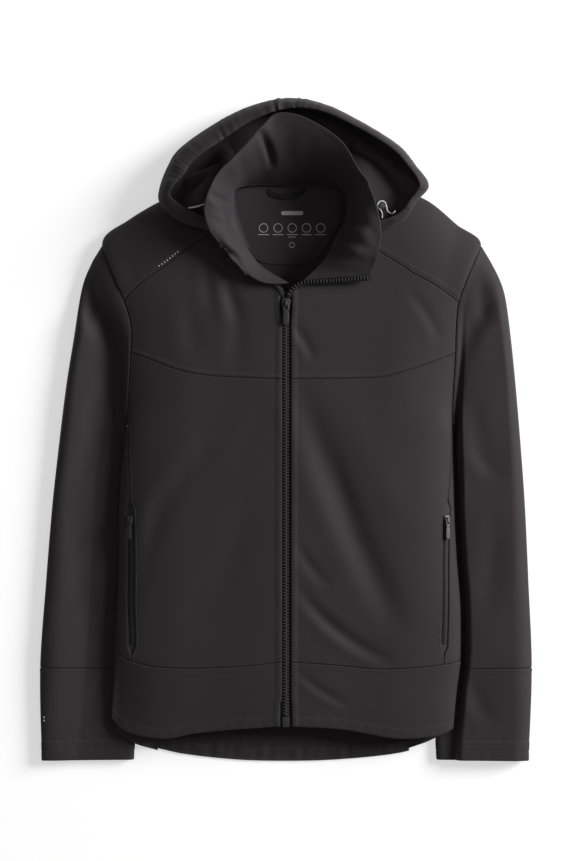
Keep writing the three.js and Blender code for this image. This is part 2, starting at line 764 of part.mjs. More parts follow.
function sleevePoint(side, c, v) {
  const get = (column) => at(SLEEVE[side], column, v);
  const width = Math.hypot(get("outX") - get("inX"), get("outY") - get("inY"));
  const past = c < 0 ? -c / SLEEVE_TURN : Math.max(c - 1, 0) / SLEEVE_TURN;
  const inset = (SLEEVE_UNDER / width) * (1 - Math.cos((past * Math.PI) / 2));
  const top = (1 - Math.cos(Math.PI * clamp01(c))) / 2;
  const across = c < 0 ? inset : top - inset;
  const plan = sleevePlan(side, across, v);
  const fromOut = Math.min((top * width) / SLEEVE_OUT_RUN, 1);
  const fromIn = Math.min(((1 - top) * width) / SLEEVE_IN_RUN, 1);
  const middle = lerp(SLEEVE_OUT_Z, SLEEVE_IN_Z, top);
  const crown = lerp(get("crown"), get("inner"), smooth(0.42, 0.74, top));
  const rise = Math.sqrt(1 - (1 - fromOut) ** 2) * Math.sqrt(1 - (1 - fromIn) ** 2);
  const tube = lerp(middle, crown, rise) - foldDrop(SLEEVE_FOLDS, plan.x, plan.y) * rise;
  const blend = lerp(0.16, 0.06, smooth(0.7, 1, top));
  const z = lerp(armholeZ(side, lerp(SHOULDER_TIP_Y, ARMPIT_Y, top)), tube, smooth(0, blend, v));
  return new THREE.Vector3(sign(side) * plan.x, plan.y, z * (1 - Math.sin((past * Math.PI) / 2)));
}

function sleeve(side) {
  const out = sign(side);
  const turn = steps(0, SLEEVE_TURN, 3).slice(1);
  const top = [0, 0.07, 0.15, 0.24, 0.34, 0.45, 0.55, 0.65, 0.75, 0.85, 0.93, 1];
  const cs = [...turn.map((t) => -t).reverse(), ...top, ...turn.map((t) => 1 + t)];
  const upper = (c, v) => sleevePoint(side, c, v);
  const seamV = 0.0002;
  const armV = [0, 0.015, 0.035, 0.06, 0.1, 0.16, 0.22, 0.3, 0.38, 0.46, 0.54, 0.62, 0.7, 0.78, CUFF_SEAM_V - seamV];
  const cuffV = [CUFF_SEAM_V + seamV, 0.9, 0.94, 0.975, 1];
  add(`sleeve_${side}_upper`, wall(upper, cs, armV, CLOTH, out), "softshell");
  add(`cuff_${side}_upper`, wall(upper, cs, cuffV, CLOTH, out), "softshell");

  const under = (c, v) => {
    const get = (column) => at(SLEEVE[side], column, v);
    const width = Math.hypot(get("outX") - get("inX"), get("outY") - get("inY"));
    const inset = (SLEEVE_UNDER + GAP) / width;
    const plan = sleevePlan(side, lerp(inset, 1 - inset, c), v);
    return new THREE.Vector3(sign(side) * plan.x, plan.y, 0);
  };
  const underC = [0, 0.15, 0.3, 0.42, 0.54, 0.66, 0.78, 0.9, 1];
  add(`sleeve_${side}_under`, wall(under, underC, armV, CLOTH, -out), "softshell");
  add(`cuff_${side}_under`, wall(under, steps(0, 1, 4), cuffV, CLOTH, -out), "softshell");
}

// Back: one flat panel from the hem band to the shoulders, inside the turns of the yokes and side panels
function back() {
  const edgeX = (side, y) => {
    const belowArmpit = at(BODY_SIDE, side, y) - at(BODY_SIDE, "underRun", y);
    return lerp(belowArmpit, at(BODY_SIDE, side, y) - 2.6, smooth(FLANK_TOP_Y, FLANK_TOP_Y + 1, y)) - GAP;
  };
  const foot = at(HEM_SEAM, "left", 2);
  const armY = SHOULDER_TIP_Y - 38; // the end of the straight armhole edge
  const surface = (s, v) => {
    const side = s >= 0 ? "left" : "right";
    const share = Math.abs(s);
    const head = backHeadY(side, edgeX(side, armY) * share);
    const lowRows = v <= FLANK_SHARE;
    const y = lowRows
      ? lerp(foot + SEAM, FLANK_TOP_Y, v / FLANK_SHARE)
      : lerp(FLANK_TOP_Y, head, (v - FLANK_SHARE) / (1 - FLANK_SHARE));
    return new THREE.Vector3(s * edgeX(side, Math.min(y, armY)), y, 0);
  };
  const half = [0.285, 0.31, 0.345, 0.55, 0.8, 1];
  const across = [...half.map((s) => -s).reverse(), 0, ...half];
  const rows = [...FLANK_ROWS.map((v) => v * FLANK_SHARE), FLANK_SHARE + 0.0008, 0.83, 0.86, 0.9, 0.95, 1];
  add("back_panel", wall(surface, across, rows, CLOTH, -1), "softshell");

  const tail = (s, v) => {
    const side = s >= 0 ? "left" : "right";
    const y = lerp(at(TAIL, "y", s * edgeX(side, -400)), foot - SEAM, v);
    return new THREE.Vector3(s * edgeX(side, y), y, 0);
  };
  add("hem_band_back", wall(tail, steps(-1, 1, 15), steps(0, 1, 4), CLOTH, -1), "softshell");
}

// Where the back panel ends: at the neck seam, and inside the yoke's turn at the shoulder
const NECK_SEAM_Y = 309.6;

function backHeadY(side, reach) {
  let [low, high] = [0, 1];
  for (let i = 0; i < 24; i++) {
    const u = (low + high) / 2;
    if (at(SHOULDER_LINE, `${side}X`, u) < reach) low = u;
    else high = u;
  }
  const shoulder = at(SHOULDER_LINE, `${side}Y`, low) - 1.4 * SHOULDER_UNDER;
  return lerp(NECK_SEAM_Y, shoulder, smooth(66, 77, reach));
}

// Height of the yoke over a place, which is 0 away from it
const SHOULDER_END = 240;

function shoulderZ(x, y) {
  const side = x >= 0 ? "left" : "right";
  const neck = at(SHOULDER_LINE, `${side}X`, 0);
  const u = clamp01((Math.abs(x) - neck) / (SHOULDER_END - neck));
  const q = lerp(NECK_CORNER_Q[side], LAST_Q, u);
  const seam = bodyPoint(side, q, at(CHEST_TOP, side, q));
  const share = (y - seam.y) / (at(SHOULDER_LINE, `${side}Y`, u) - seam.y);
  const height = share < 1 ? lerp(TIP_Z, seam.z, Math.sqrt(1 - Math.max(share, 0) ** 2)) : TIP_Z;
  return height * (1 - smooth(1, 1.25, share)) * smooth(neck - 20, neck - 8, Math.abs(x));
}

// A point of the collar's visible inside: w runs from the neck seam to the top edge
function collarPoint(a, w) {
  const get = (column) => at(COLLAR, column, a);
  const base = new THREE.Vector3(get("baseX"), get("baseY"), get("baseZ"));
  const top = new THREE.Vector3(get("topX"), get("topY"), get("topZ"));
  const point = base.clone().lerp(top, w);
  const hump = Math.sin(Math.PI * w);
  const run = base.distanceTo(top);
  const steep = smooth(0, 40, Math.abs(top.z - base.z));
  point.z += COLLAR_FLARE * run * hump * (0.4 + 0.6 * steep) * smooth(0, 0.12, a) * (1 - smooth(0.9, 1, a));
  point.y -= RIGHT_EDGE_BOW * hump * smooth(0.88, 1, a);
  return point;
}

function collar() {
  add("collar", wall(collarPoint, steps(0, 1, 35), steps(0, 1, 6), TWO_PLY, -1), "softshell");
}

// A point of the hood's outside: t runs from the root (-1) under the hood to the outline (0) and up to the rim (1)
function hoodPoint(a, t) {
  const get = (column) => at(HOOD, column, a);
  const place = (name) => new THREE.Vector3(get(`${name}X`), get(`${name}Y`), get(`${name}Z`));
  const out = place("out");
  if (t >= 0) {
    const rim = place("rim");
    const angle = (t * Math.PI) / 2;
    const point = out.clone().lerp(rim, 1 - Math.cos(angle));
    point.z = lerp(out.z, rim.z, Math.sin(angle));
    return point;
  }
  const root = place("root");
  const low = get("lowZ");
  const length = out.clone().setZ(0).distanceTo(root.clone().setZ(0));
  const turn = Math.min(HOOD_TURN / length, 0.45);
  const back = -t;
  const knee = 0.3;
  if (back <= knee) {
    const angle = ((back / knee) * Math.PI) / 2;
    const point = out.clone().lerp(root, turn * (1 - Math.cos(angle)));
    point.z = Math.max(lerp(out.z, low, Math.sin(angle)), hoodFloor(point));
    return point;
  }
  const share = (back - knee) / (1 - knee);
  const point = out.clone().lerp(root, lerp(turn, 1, share));
  point.z = Math.max(lerp(low, root.z, smooth(0, 1, share)), hoodFloor(point));
  return point;
}

function hoodFloor(point) {
  const shoulder = shoulderZ(point.x, point.y);
  return shoulder > 0 ? shoulder + HOOD_LIFT : 0;
}

function hood() {
  const gapA = 0.0002;
  const [first, second] = HOOD_SEAMS;
  const ts = [-1, -0.83, -0.65, -0.48, -0.36, -0.3, -0.22, -0.13, -0.05, 0.02, HOOD_BRIM_T - 0.01];
  const panels = { left: steps(0, first - gapA, 14), centre: steps(first + gapA, second - gapA, 9), right: steps(second + gapA, 1, 14) };
  const names = { left: "hood_side_left", centre: "hood_centre", right: "hood_side_right" };
  for (const [key, rows] of Object.entries(panels)) add(names[key], wall(hoodPoint, rows, ts, CLOTH, 1), "softshell");
  add("hood_brim", wall(hoodPoint, steps(0, 1, 33), steps(HOOD_BRIM_T + 0.005, 1, 4), TWO_PLY, 1), "softshell");
}

// A place on the zip or a pocket: x across it, y along it towards its top, z away from the cloth
function frame(origin, across, along) {
  const a = across.clone().normalize();
  const n = a.clone().cross(along).normalize();
  return new THREE.Matrix4().makeBasis(a, n.clone().cross(a), n).setPosition(origin);
}

function frontZipFrame(y) {
  const level = (place) => at(CROWN, "z", place) - TAPE_SINK;
  const along = new THREE.Vector3(0, 2, level(y + 1) - level(y - 1));
  return frame(new THREE.Vector3(0, y, level(y)), new THREE.Vector3(1, 0, 0), along);
}

function pocketFrame(side, y) {
  const place = (offset, row) => bodyPoint(side, sideSeamQ(side, row, offset), row);
  const across = place(-1, y).sub(place(1, y)).multiplyScalar(sign(side));
  const along = place(0, y + 1).sub(place(0, y - 1));
  const here = frame(place(0, y), across, along);
  const normal = new THREE.Vector3().setFromMatrixColumn(here, 2);
  return here.setPosition(place(0, y).addScaledVector(normal, -TAPE_SINK));
}

// A tape with the closed teeth standing on it, through frames along the zip
function zipStrip(frames, tapeHalf) {
  const profile = [
    [-tapeHalf, -TAPE],
    [tapeHalf, -TAPE],
    [tapeHalf, 0],
    [CHAIN_HALF, 0],
    [CHAIN_HALF - 0.6, CHAIN],
    [0.6 - CHAIN_HALF, CHAIN],
    [-CHAIN_HALF, 0],
    [-tapeHalf, 0],
  ].map(([x, z]) => new THREE.Vector2(x, z));
  const points = frames.flatMap((f) => profile.map((p) => new THREE.Vector3(p.x, 0, p.y).applyMatrix4(f)));
  return loft(points, profile);
}

// Slider: a body with two shoulders and an arch on top that holds the pull. Its top is the frame's z = top.
function sliderBody(size) {
  const outline = new THREE.Shape();
  outline.moveTo(-size.half * 0.78, -size.long / 2);
  outline.lineTo(size.half * 0.78, -size.long / 2);
  outline.lineTo(size.half, size.long * 0.22);
  outline.quadraticCurveTo(size.half * 0.9, size.long / 2, size.half * 0.45, size.long / 2);
  outline.lineTo(-size.half * 0.45, size.long / 2);
  outline.quadraticCurveTo(-size.half * 0.9, size.long / 2, -size.half, size.long * 0.22);
  const depth = size.top - size.bottom;
  const body = new THREE.ExtrudeGeometry(outline, { depth, bevelEnabled: false, curveSegments: 4 });
  body.translate(0, 0, size.bottom);
  const arch = new THREE.Shape();
  const [reach, leg, rise] = [size.arch, size.leg, size.rise];
  arch.moveTo(-reach, -0.5);
  arch.lineTo(-reach, rise - leg * 0.6);
  arch.lineTo(leg - reach, rise + leg * 0.7);
  arch.lineTo(reach - leg, rise + leg * 0.7);
  arch.lineTo(reach, rise - leg * 0.6);
  arch.lineTo(reach, -0.5);
  arch.lineTo(reach - leg, -0.5);
  arch.lineTo(reach - leg, rise);
  arch.lineTo(leg - reach, rise);
  arch.lineTo(leg - reach, -0.5);
  const width = size.archWidth;
  const bridge = new THREE.ExtrudeGeometry(arch, { depth: width, bevelEnabled: false });
  bridge.translate(0, 0, -width / 2);
  bridge.applyMatrix4(new THREE.Matrix4().makeBasis(Y_AXIS, Z_AXIS, X_AXIS));
  bridge.translate(0, 0, size.top);
  return geometryOf(solid(body).add(solid(bridge)));
}

// Pull: an eye around the arch and a plain tab that hangs towards the foot of the zip
function pullTab(size) {
  const bar = size.pullThick / 2;
  const half = size.pullHalf;
  const outline = new THREE.Shape();
  outline.moveTo(-half, bar);
  outline.lineTo(-half, -size.eye);
  outline.lineTo(-half * 0.72, -size.eye - 3);
  outline.lineTo(-half * 0.95, -size.eye - 6);
  outline.lineTo(-half * 0.95, -size.pullLong + 1.4);
  outline.quadraticCurveTo(-half * 0.9, -size.pullLong, -half * 0.45, -size.pullLong);
  outline.lineTo(half * 0.45, -size.pullLong);
  outline.quadraticCurveTo(half * 0.9, -size.pullLong, half * 0.95, -size.pullLong + 1.4);
  outline.lineTo(half * 0.95, -size.eye - 6);
  outline.lineTo(half * 0.72, -size.eye - 3);
  outline.lineTo(half, -size.eye);
  outline.lineTo(half, bar);
  const eye = new THREE.Path();
  const inner = size.archWidth / 2 + 0.6;
  eye.moveTo(-inner, -bar);
  eye.lineTo(inner, -bar);
  eye.lineTo(inner, -size.eye + 0.6);
  eye.lineTo(-inner, -size.eye + 0.6);
  outline.holes.push(eye);
  const tab = new THREE.ExtrudeGeometry(outline, { depth: size.pullThick, bevelEnabled: false, curveSegments: 3 });
  return tab.translate(0, 0, size.top + size.rise / 2 - bar);
}

function zips() {
  const frames = steps(ZIP_FOOT_Y, ZIP_TOP_Y, 20).map(frontZipFrame);
  add("zip_chain", zipStrip(frames, TAPE_HALF), "zip");
  const box = new THREE.BoxGeometry(2 * CHAIN_HALF + 2, BOX_LONG, CHAIN + TAPE + 0.8);
  box.translate(0, 0, (CHAIN - TAPE) / 2);
  add("zip_box", box, "metal", frontZipFrame(ZIP_FOOT_Y - GAP - BOX_LONG / 2));
  const place = frontZipFrame(ZIP_TOP_Y + GAP + FRONT_SLIDER.long / 2);
  add("zip_slider", sliderBody(FRONT_SLIDER), "metal", place);
  add("zip_pull", pullTab(FRONT_SLIDER), "metal", place);
  for (const side of ["left", "right"]) {
    const run = steps(POCKET_FOOT_Y + 1, POCKET_SLIDER_Y - POCKET_SLIDER.long / 2 - GAP, 8);
    add(`pocket_zip_${side}`, zipStrip(run.map((y) => pocketFrame(side, y)), POCKET_TAPE_HALF), "zip");
    const spot = pocketFrame(side, POCKET_SLIDER_Y);
    add(`pocket_slider_${side}`, sliderBody(POCKET_SLIDER), "metal", spot);
    add(`pocket_pull_${side}`, pullTab(POCKET_SLIDER), "metal", spot);
  }
  for (const side of ["left", "right"]) {
    const curve = new THREE.CatmullRomCurve3(OPEN_ZIP[side].map((p) => new THREE.Vector3(...p)));
    add(`zip_open_${side}`, ribbon(curve.getPoints(OPEN_ZIP[side].length * 2), STRIP_WIDTH, STRIP), "zip");
  }
}

function neckPieces() {
  const facing = (s, v) => {
    const head = NECK_SEAM_Y - 5;
    const foot = lerp(FACING_FOOT_Y, head - 12, Math.abs(s) ** 2.4);
    return new THREE.Vector3(s * FACING_HALF, lerp(foot, head, v), CLOTH + GAP + FACING);
  };
  add("neck_facing", wall(facing, steps(-1, 1, 13), steps(0, 1, 4), FACING, 1), "lining");
  const loop = new THREE.CatmullRomCurve3(HANGER_LOOP.map((p) => new THREE.Vector3(...p)));
  add("hanger_loop", ribbon(loop.getPoints(14), LOOP_WIDTH, 1), "lining");
}

function tube(points, count) {
  const curve = new THREE.CatmullRomCurve3(points.map((p) => new THREE.Vector3(...p)));
  const circle = new THREE.Shape();
  for (let i = 0; i < CORD_SIDES; i++) {
    const angle = (2 * Math.PI * i) / CORD_SIDES;
    const [x, y] = [CORD_RADIUS * Math.cos(angle), CORD_RADIUS * Math.sin(angle)];
    if (i === 0) circle.moveTo(x, y);
    else circle.lineTo(x, y);
  }
  return new THREE.ExtrudeGeometry(circle, { extrudePath: curve, steps: count, bevelEnabled: false });
}

function cords() {
  add("hood_cord_left", tube(CORD_LEFT, 20), "cord");
  add("hood_cord_right", tube(CORD_RIGHT, 12), "cord");
  const barrel = new THREE.CylinderGeometry(LOCK_RADIUS, LOCK_RADIUS, LOCK_HEIGHT, 20).rotateX(Math.PI / 2);
  add("cord_lock", barrel.translate(...LOCK_PLACE), "lock");
}

bodyPanels("left");
bodyPanels("right");
yoke("left");
yoke("right");
sleeve("left");
sleeve("right");
back();
collar();
hood();
zips();
neckPieces();
cords();

export default jacket;
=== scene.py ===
"""Dresses a softshell jacket that lies flat on its back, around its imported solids.

The forms are worked out in millimetres, from the same section tables as the solids but on dense grids, and go
into the meshes in metres. +X points to the wearer's left, +Y from the hem to the hood, +Z up from the floor.
"""

import logging
import math
from collections.abc import Callable, Sequence
from dataclasses import dataclass, field
from enum import Enum

import bmesh
import bpy
import numpy as np
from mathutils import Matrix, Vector


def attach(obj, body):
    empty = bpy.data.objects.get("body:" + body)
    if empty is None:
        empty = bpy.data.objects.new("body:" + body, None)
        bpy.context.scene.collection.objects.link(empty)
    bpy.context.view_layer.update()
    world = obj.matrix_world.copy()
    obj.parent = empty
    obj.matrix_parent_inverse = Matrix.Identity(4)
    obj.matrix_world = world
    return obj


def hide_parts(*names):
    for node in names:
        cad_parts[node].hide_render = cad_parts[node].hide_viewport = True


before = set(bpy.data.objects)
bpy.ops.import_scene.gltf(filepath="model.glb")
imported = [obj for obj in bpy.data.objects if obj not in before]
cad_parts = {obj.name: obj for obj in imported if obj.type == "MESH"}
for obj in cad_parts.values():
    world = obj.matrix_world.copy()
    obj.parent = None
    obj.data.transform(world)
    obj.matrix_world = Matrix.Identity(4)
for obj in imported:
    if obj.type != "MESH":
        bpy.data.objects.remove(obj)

Array = np.ndarray
Surface = Callable[[Array, Array], Array]
Reliefs = Callable[[Array, Array, Array], Array]
log = logging.getLogger("jacket")

MM = 0.001
BODY = "jacket"
CLOTH = 1.6  # thickness of one ply of bonded softshell
TWO_PLY = 2.4  # collar and hood brim, which are sewn double
GAP = 0.35  # distance between two pieces at a seam
SEAM = GAP / 2
BEVEL = 0.6  # how much the hidden face of a piece stops short of its cut edge
GOLDEN_ANGLE = 2.39996
WAVES = 5  # plane waves that make the cloth's unevenness
WAVE_SUM = 3.4  # what their sum is divided by to stay near 1
RIDGE_PLACE = 1.7  # distance of a fold's ridge from its trough, in half widths
FOLD_FADE = 0.8  # how fast a fold fades towards its ends: lower is later


class Side(Enum):
    """Wearer's side, with the sign of its X."""

    LEFT = ("left", 1.0)
    RIGHT = ("right", -1.0)

    @property
    def label(self) -> str:
        """Name used in node names and table columns."""
        return self.value[0]

    @property
    def sign(self) -> float:
        """Sign of X on this side."""
        return self.value[1]


class Rim(Enum):
    """Edge of a piece, by the parameter that is lowest or highest on it."""

    U_LOW = "u0"
    U_HIGH = "u1"
    V_LOW = "v0"
    V_HIGH = "v1"


# Numbers


@dataclass(frozen=True)
class Table:
    """Section table. names holds its columns in one string, and the first of them is the place along it."""

    names: str
    rows: tuple[tuple[float, ...], ...]
    straight: bool = False

    def __call__(self, column: str, place: Array | float) -> Array:
        """Value of a column at places: a cubic through the rows, or straight lines between them.

        Args:
            column: Name of the column.
            place: Places along the first column; past the ends the end value holds.

        Returns:
            Values, in the shape of place.
        """
        data = np.asarray(self.rows, float)
        at, value = data[:, 0], data[:, self.names.split().index(column)]
        place = np.clip(np.asarray(place, float), at[0], at[-1])
        if self.straight:
            return np.interp(place, at, value)
        before, after = np.maximum(np.arange(len(at)) - 1, 0), np.minimum(np.arange(len(at)) + 1, len(at) - 1)
        slope = (value[after] - value[before]) / (at[after] - at[before])
        i = np.clip(np.searchsorted(at, place, side="right") - 1, 0, len(at) - 2)
        span = at[i + 1] - at[i]
        t = (place - at[i]) / span
        cubic = 2 * t**3 - 3 * t**2
        rise = (t**3 - 2 * t**2 + t) * span * slope[i] + (t**3 - t**2) * span * slope[i + 1]
        return value[i] * (cubic + 1) - value[i + 1] * cubic + rise


def lerp(a: Array | float, b: Array | float, t: Array | float) -> Array:
    """Straight mix of a and b by t."""
    return a + (b - a) * t


def smooth(low: float, high: float, value: Array | float) -> Array:
    """Smooth step from 0 at low to 1 at high."""
    t = np.clip((np.asarray(value, float) - low) / (high - low), 0, 1)
    return t * t * (3 - 2 * t)


def bell(value: Array, half: float) -> Array:
    """Bell curve, 1 at 0 and 0.37 at half."""
    return np.exp(-((value / half) ** 2))


def stack(x: Array, y: Array, z: Array) -> Array:
    """Points from their coordinates."""
    return np.stack(np.broadcast_arrays(x, y, z), axis=-1).astype(float)


def unit(vectors: Array) -> Array:
    """Vectors of length 1 along the last axis."""
    return vectors / np.maximum(np.linalg.norm(vectors, axis=-1, keepdims=True), 1e-9)


def uneven(x: Array, y: Array, length: float, seed: float) -> Array:
    """Soft unevenness between about -1 and 1: a sum of plane waves of different directions and lengths.

    Args:
        x: Places across, in millimetres.
        y: Places along.
        length: Typical distance between two crests.
        seed: Shifts the pattern.

    Returns:
        Heights in the shape of x.
    """
    total = np.zeros(np.broadcast(x, y).shape)
    for k in range(WAVES):
        angle = seed * 1.7 + k * GOLDEN_ANGLE
        wave = 2 * math.pi / (length * (0.75 + 0.17 * k))
        total += np.sin((x * math.cos(angle) + y * math.sin(angle)) * wave + seed * (k + 1.3) * 2.1)
    return total / WAVE_SUM


def rounded(points: Sequence[Sequence[float]], count: int) -> Array:
    """Centripetal Catmull-Rom curve through points, as count points."""
    p = np.asarray(points, float)
    p = np.vstack([2 * p[0] - p[1], p, 2 * p[-1] - p[-2]])
    knots = np.concatenate([[0], np.cumsum(np.linalg.norm(np.diff(p, axis=0), axis=1) ** 0.5)])
    places = np.linspace(knots[1], knots[-2], count)
    i = np.clip(np.searchsorted(knots, places, side="right") - 1, 1, len(p) - 3)
    t = places[:, None]
    k0, k1, k2, k3 = (knots[i + n][:, None] for n in (-1, 0, 1, 2))
    p0, p1, p2, p3 = (p[i + n] for n in (-1, 0, 1, 2))
    a1 = ((k1 - t) * p0 + (t - k0) * p1) / (k1 - k0)
    a2 = ((k2 - t) * p1 + (t - k1) * p2) / (k2 - k1)
    a3 = ((k3 - t) * p2 + (t - k2) * p3) / (k3 - k2)
    b1 = ((k2 - t) * a1 + (t - k0) * a2) / (k2 - k0)
    b2 = ((k3 - t) * a2 + (t - k1) * a3) / (k3 - k1)
    return ((k2 - t) * b1 + (t - k1) * b2) / (k2 - k1)


def along(points: Array) -> Array:
    """Length along a line of points, at each of them."""
    return np.concatenate([[0], np.cumsum(np.linalg.norm(np.diff(points, axis=0), axis=1))])


def at_lengths(points: Array, places: Array) -> Array:
    """Points of a line at lengths along it."""
    s = along(points)
    return np.stack([np.interp(places, s, points[:, k]) for k in range(points.shape[1])], axis=-1)


def lengths(grid: Array, axis: int) -> Array:
    """Length along each column (axis 0) or row (axis 1) of a grid of points, at each of them."""
    steps = np.linalg.norm(np.diff(grid, axis=axis), axis=-1)
    pad = [(1, 0), (0, 0)] if axis == 0 else [(0, 0), (1, 0)]
    return np.pad(np.cumsum(steps, axis=axis), pad)


@dataclass(frozen=True)
class Fold:
    """Fold of the cloth: a trough along a bowed line with a low ridge beside it; minus depth makes a ridge.

    Attributes:
        x0: Where it starts, across.
        y0: Where it starts, along.
        x1: Where it ends, across.
        y1: Where it ends, along.
        depth: Depth in the middle.
        half: Half width.
        bow: How far its middle swings sideways.
        ridge: Height of the ridge beside it, as a share of the depth.
    """

    x0: float
    y0: float
    x1: float
    y1: float
    depth: float
    half: float
    bow: float = 0.0
    ridge: float = 0.45

    def drop(self, x: Array, y: Array) -> Array:
        """How far the fold lowers the cloth: a bell across the line, fading towards its ends like a sine."""
        dx, dy = self.x1 - self.x0, self.y1 - self.y0
        long = math.hypot(dx, dy)
        ax, ay = dx / long, dy / long
        px, py = x - self.x0, y - self.y0
        t = np.clip((px * ax + py * ay) / long, 0, 1)
        away = px * ay - py * ax - self.bow * 4 * t * (1 - t)
        fade = np.sin(np.pi * t) ** FOLD_FADE
        beside = bell(away - RIDGE_PLACE * self.half, self.half)
        return self.depth * fade * (bell(away, self.half) - self.ridge * beside)


def folded(folds: Sequence[Fold], x: Array, y: Array) -> Array:
    """Sum of the drops of several folds."""
    return sum((fold.drop(x, y) for fold in folds), np.zeros(np.broadcast(x, y).shape))


# Section tables, as in the solids

BODY_SIDE = Table(
    "y left right edgeZ turn underZ underRun",
    ((-400, 208, 222, 17, 90, 13.6, 60), (-360, 212, 220, 18, 90, 13.6, 60),
     (-328, 215, 218, 19, 90, 13.6, 60), (-296, 219, 216, 20, 90, 13.6, 60),
     (-265, 220, 215, 20, 90, 13.6, 60), (-214, 219, 212, 21, 90, 13.6, 60),
     (-164, 215, 210, 21, 90, 13.6, 60), (-107, 212, 210, 21, 90, 13.6, 60),
     (-63, 211, 208, 21, 90, 13.6, 60), (-30, 210, 204, 22, 90, 13.6, 56),
     (8, 209, 200, 24, 88, 12.6, 44), (44, 210, 198, 27, 64, 0, 10), (98, 213, 195, 30, 52, 0, 10),
     (131, 214, 195, 31, 50, 0, 10), (160, 217, 203, 31, 50, 0, 10), (186, 226, 214, 30, 50, 0, 10),
     (212, 237, 224, 24, 50, 0, 10), (232, 246, 232, 10, 50, 0, 10)),
)
CROWN = Table(
    "y z",
    ((-400, 33), (-340, 39), (-260, 44), (-100, 48), (60, 48), (140, 46), (200, 43.5), (265, 41)),
)
FRONT_HEM = Table(
    "q left right",
    ((0, -372, -372), (0.3, -376, -377), (0.5, -383, -382), (0.63, -388, -388), (0.8, -385, -380),
     (1, -376, -362), (1.3, -384, -384), (1.6, -394, -396), (2, -405, -405)),
)
HEM_SEAM = Table(
    "q left right",
    ((0, -291, -291), (0.2, -294, -296), (0.5, -300, -299), (0.68, -298, -297), (0.82, -294, -289),
     (1, -290, -276), (1.4, -292, -288), (2, -295, -295)),
)
CHEST_SEAM = Table(
    "q left right",
    ((0, 64, 64), (0.4, 65, 67), (0.56, 67, 70), (0.68, 75, 76), (0.85, 87, 89), (1, 97, 98)),
)
CHEST_TOP = Table(
    "q left right",
    ((0, 178, 181), (0.06, 184, 191), (0.11, 196, 203), (0.165, 217, 220), (0.2, 237, 246),
     (0.229, 249, 266), (0.248, 252, 263), (0.43, 222, 235), (0.63, 197, 207), (0.8, 181, 187),
     (1, 160, 163)),
    straight=True,
)
TAIL = Table(
    "x y",
    ((-170, -400), (-130, -409), (-60, -416.5), (0, -418), (60, -416.5), (130, -410), (170, -402)),
)
SIDE_SEAM = Table(
    "y left right",
    ((-310, 21, 22), (-262, 21, 22), (-214, 19, 17), (-107, 10, 14.5), (-63, 5, 12), (-30, 2, 6),
     (20, 0.5, 0.5)),
    straight=True,
)
SHOULDER_LINE = Table(
    "u leftX leftY rightX rightY",
    ((0, 84, 310, 76, 313), (0.32, 131, 306, 121, 304), (0.62, 179, 289, 160, 288),
     (0.82, 219, 256, 204, 261), (1, 246, 232, 232, 232)),
)
COLLAR = Table(
    "a baseX baseY baseZ topX topY topZ",
    ((0, 21, 187.5, 47.6, 107, 193, 53), (0.05, 38, 203.5, 46.9, 112, 207, 58),
     (0.1, 53, 222, 46.4, 117, 226, 67), (0.15, 65.5, 243.5, 45.4, 119, 247, 76),
     (0.2, 73, 262, 43, 116, 265, 82), (0.25, 75.5, 281, 36, 111, 284, 84),
     (0.3, 72, 299, 22, 104, 303, 82), (0.35, 59, 307.2, 8, 91, 324, 76),
     (0.42, 36, 308, 4.6, 68, 362, 64), (0.5, 4, 308, 4.4, 22, 392, 52),
     (0.55, -15, 308, 4.4, -10, 397, 48), (0.6, -33, 308, 4.6, -29, 381, 54),
     (0.65, -51, 307.2, 8, -54, 350, 66), (0.7, -63.5, 302, 21, -80, 324, 76),
     (0.75, -64.4, 288, 34.5, -96, 297, 82), (0.8, -63.2, 270, 42.6, -102, 275, 80),
     (0.85, -57, 248, 45.4, -97, 251, 75), (0.9, -46.5, 226.5, 46.6, -87, 236, 70),
     (0.95, -29, 204.5, 47.2, -80, 227, 66), (1, 4, 184, 49.6, -75, 221, 62)),
)
HOOD = Table(
    "a rootX rootY rootZ outX outY outZ rimX rimY rimZ lowZ",
    ((0, 86, 252, 46, 116, 250, 51, 106, 258, 60, 46),
     (0.06, 87, 260, 46, 147, 262, 49, 138, 269, 62, 43),
     (0.13, 88, 270, 45, 165, 287, 46, 155, 288, 64, 40),
     (0.2, 88, 284, 43, 179, 307, 40, 166, 306, 66, 33),
     (0.27, 86, 300, 38, 162, 333, 31, 153, 328, 64, 20),
     (0.34, 72, 313, 24, 141, 358, 25, 133, 351, 58, 9),
     (0.41, 48, 311.5, 5, 96, 387, 20, 90, 378, 52, 1),
     (0.47, 26, 310.6, 0.6, 49, 410, 18, 45, 399, 46, 0), (0.53, 2, 310.4, 0, 3, 418, 17, 3, 403, 42, 0),
     (0.59, -22, 310.6, 0.6, -45, 408, 17, -40, 389, 42, 0),
     (0.66, -44, 311.5, 4, -91, 385, 18, -80, 363, 45, 0),
     (0.73, -64, 314, 17, -134, 354, 22, -114, 339, 50, 4),
     (0.79, -78, 312, 30, -149, 331, 27, -128, 319, 54, 14),
     (0.85, -80, 300, 36, -159, 303, 33, -142, 303, 56, 24),
     (0.9, -80, 286, 42, -158, 284, 38, -143, 291, 57, 34),
     (0.95, -79, 272, 45, -135, 262, 46, -120, 275, 59, 42),
     (1, -80, 260, 47, -98, 249, 52, -92, 262, 62, 46)),
)
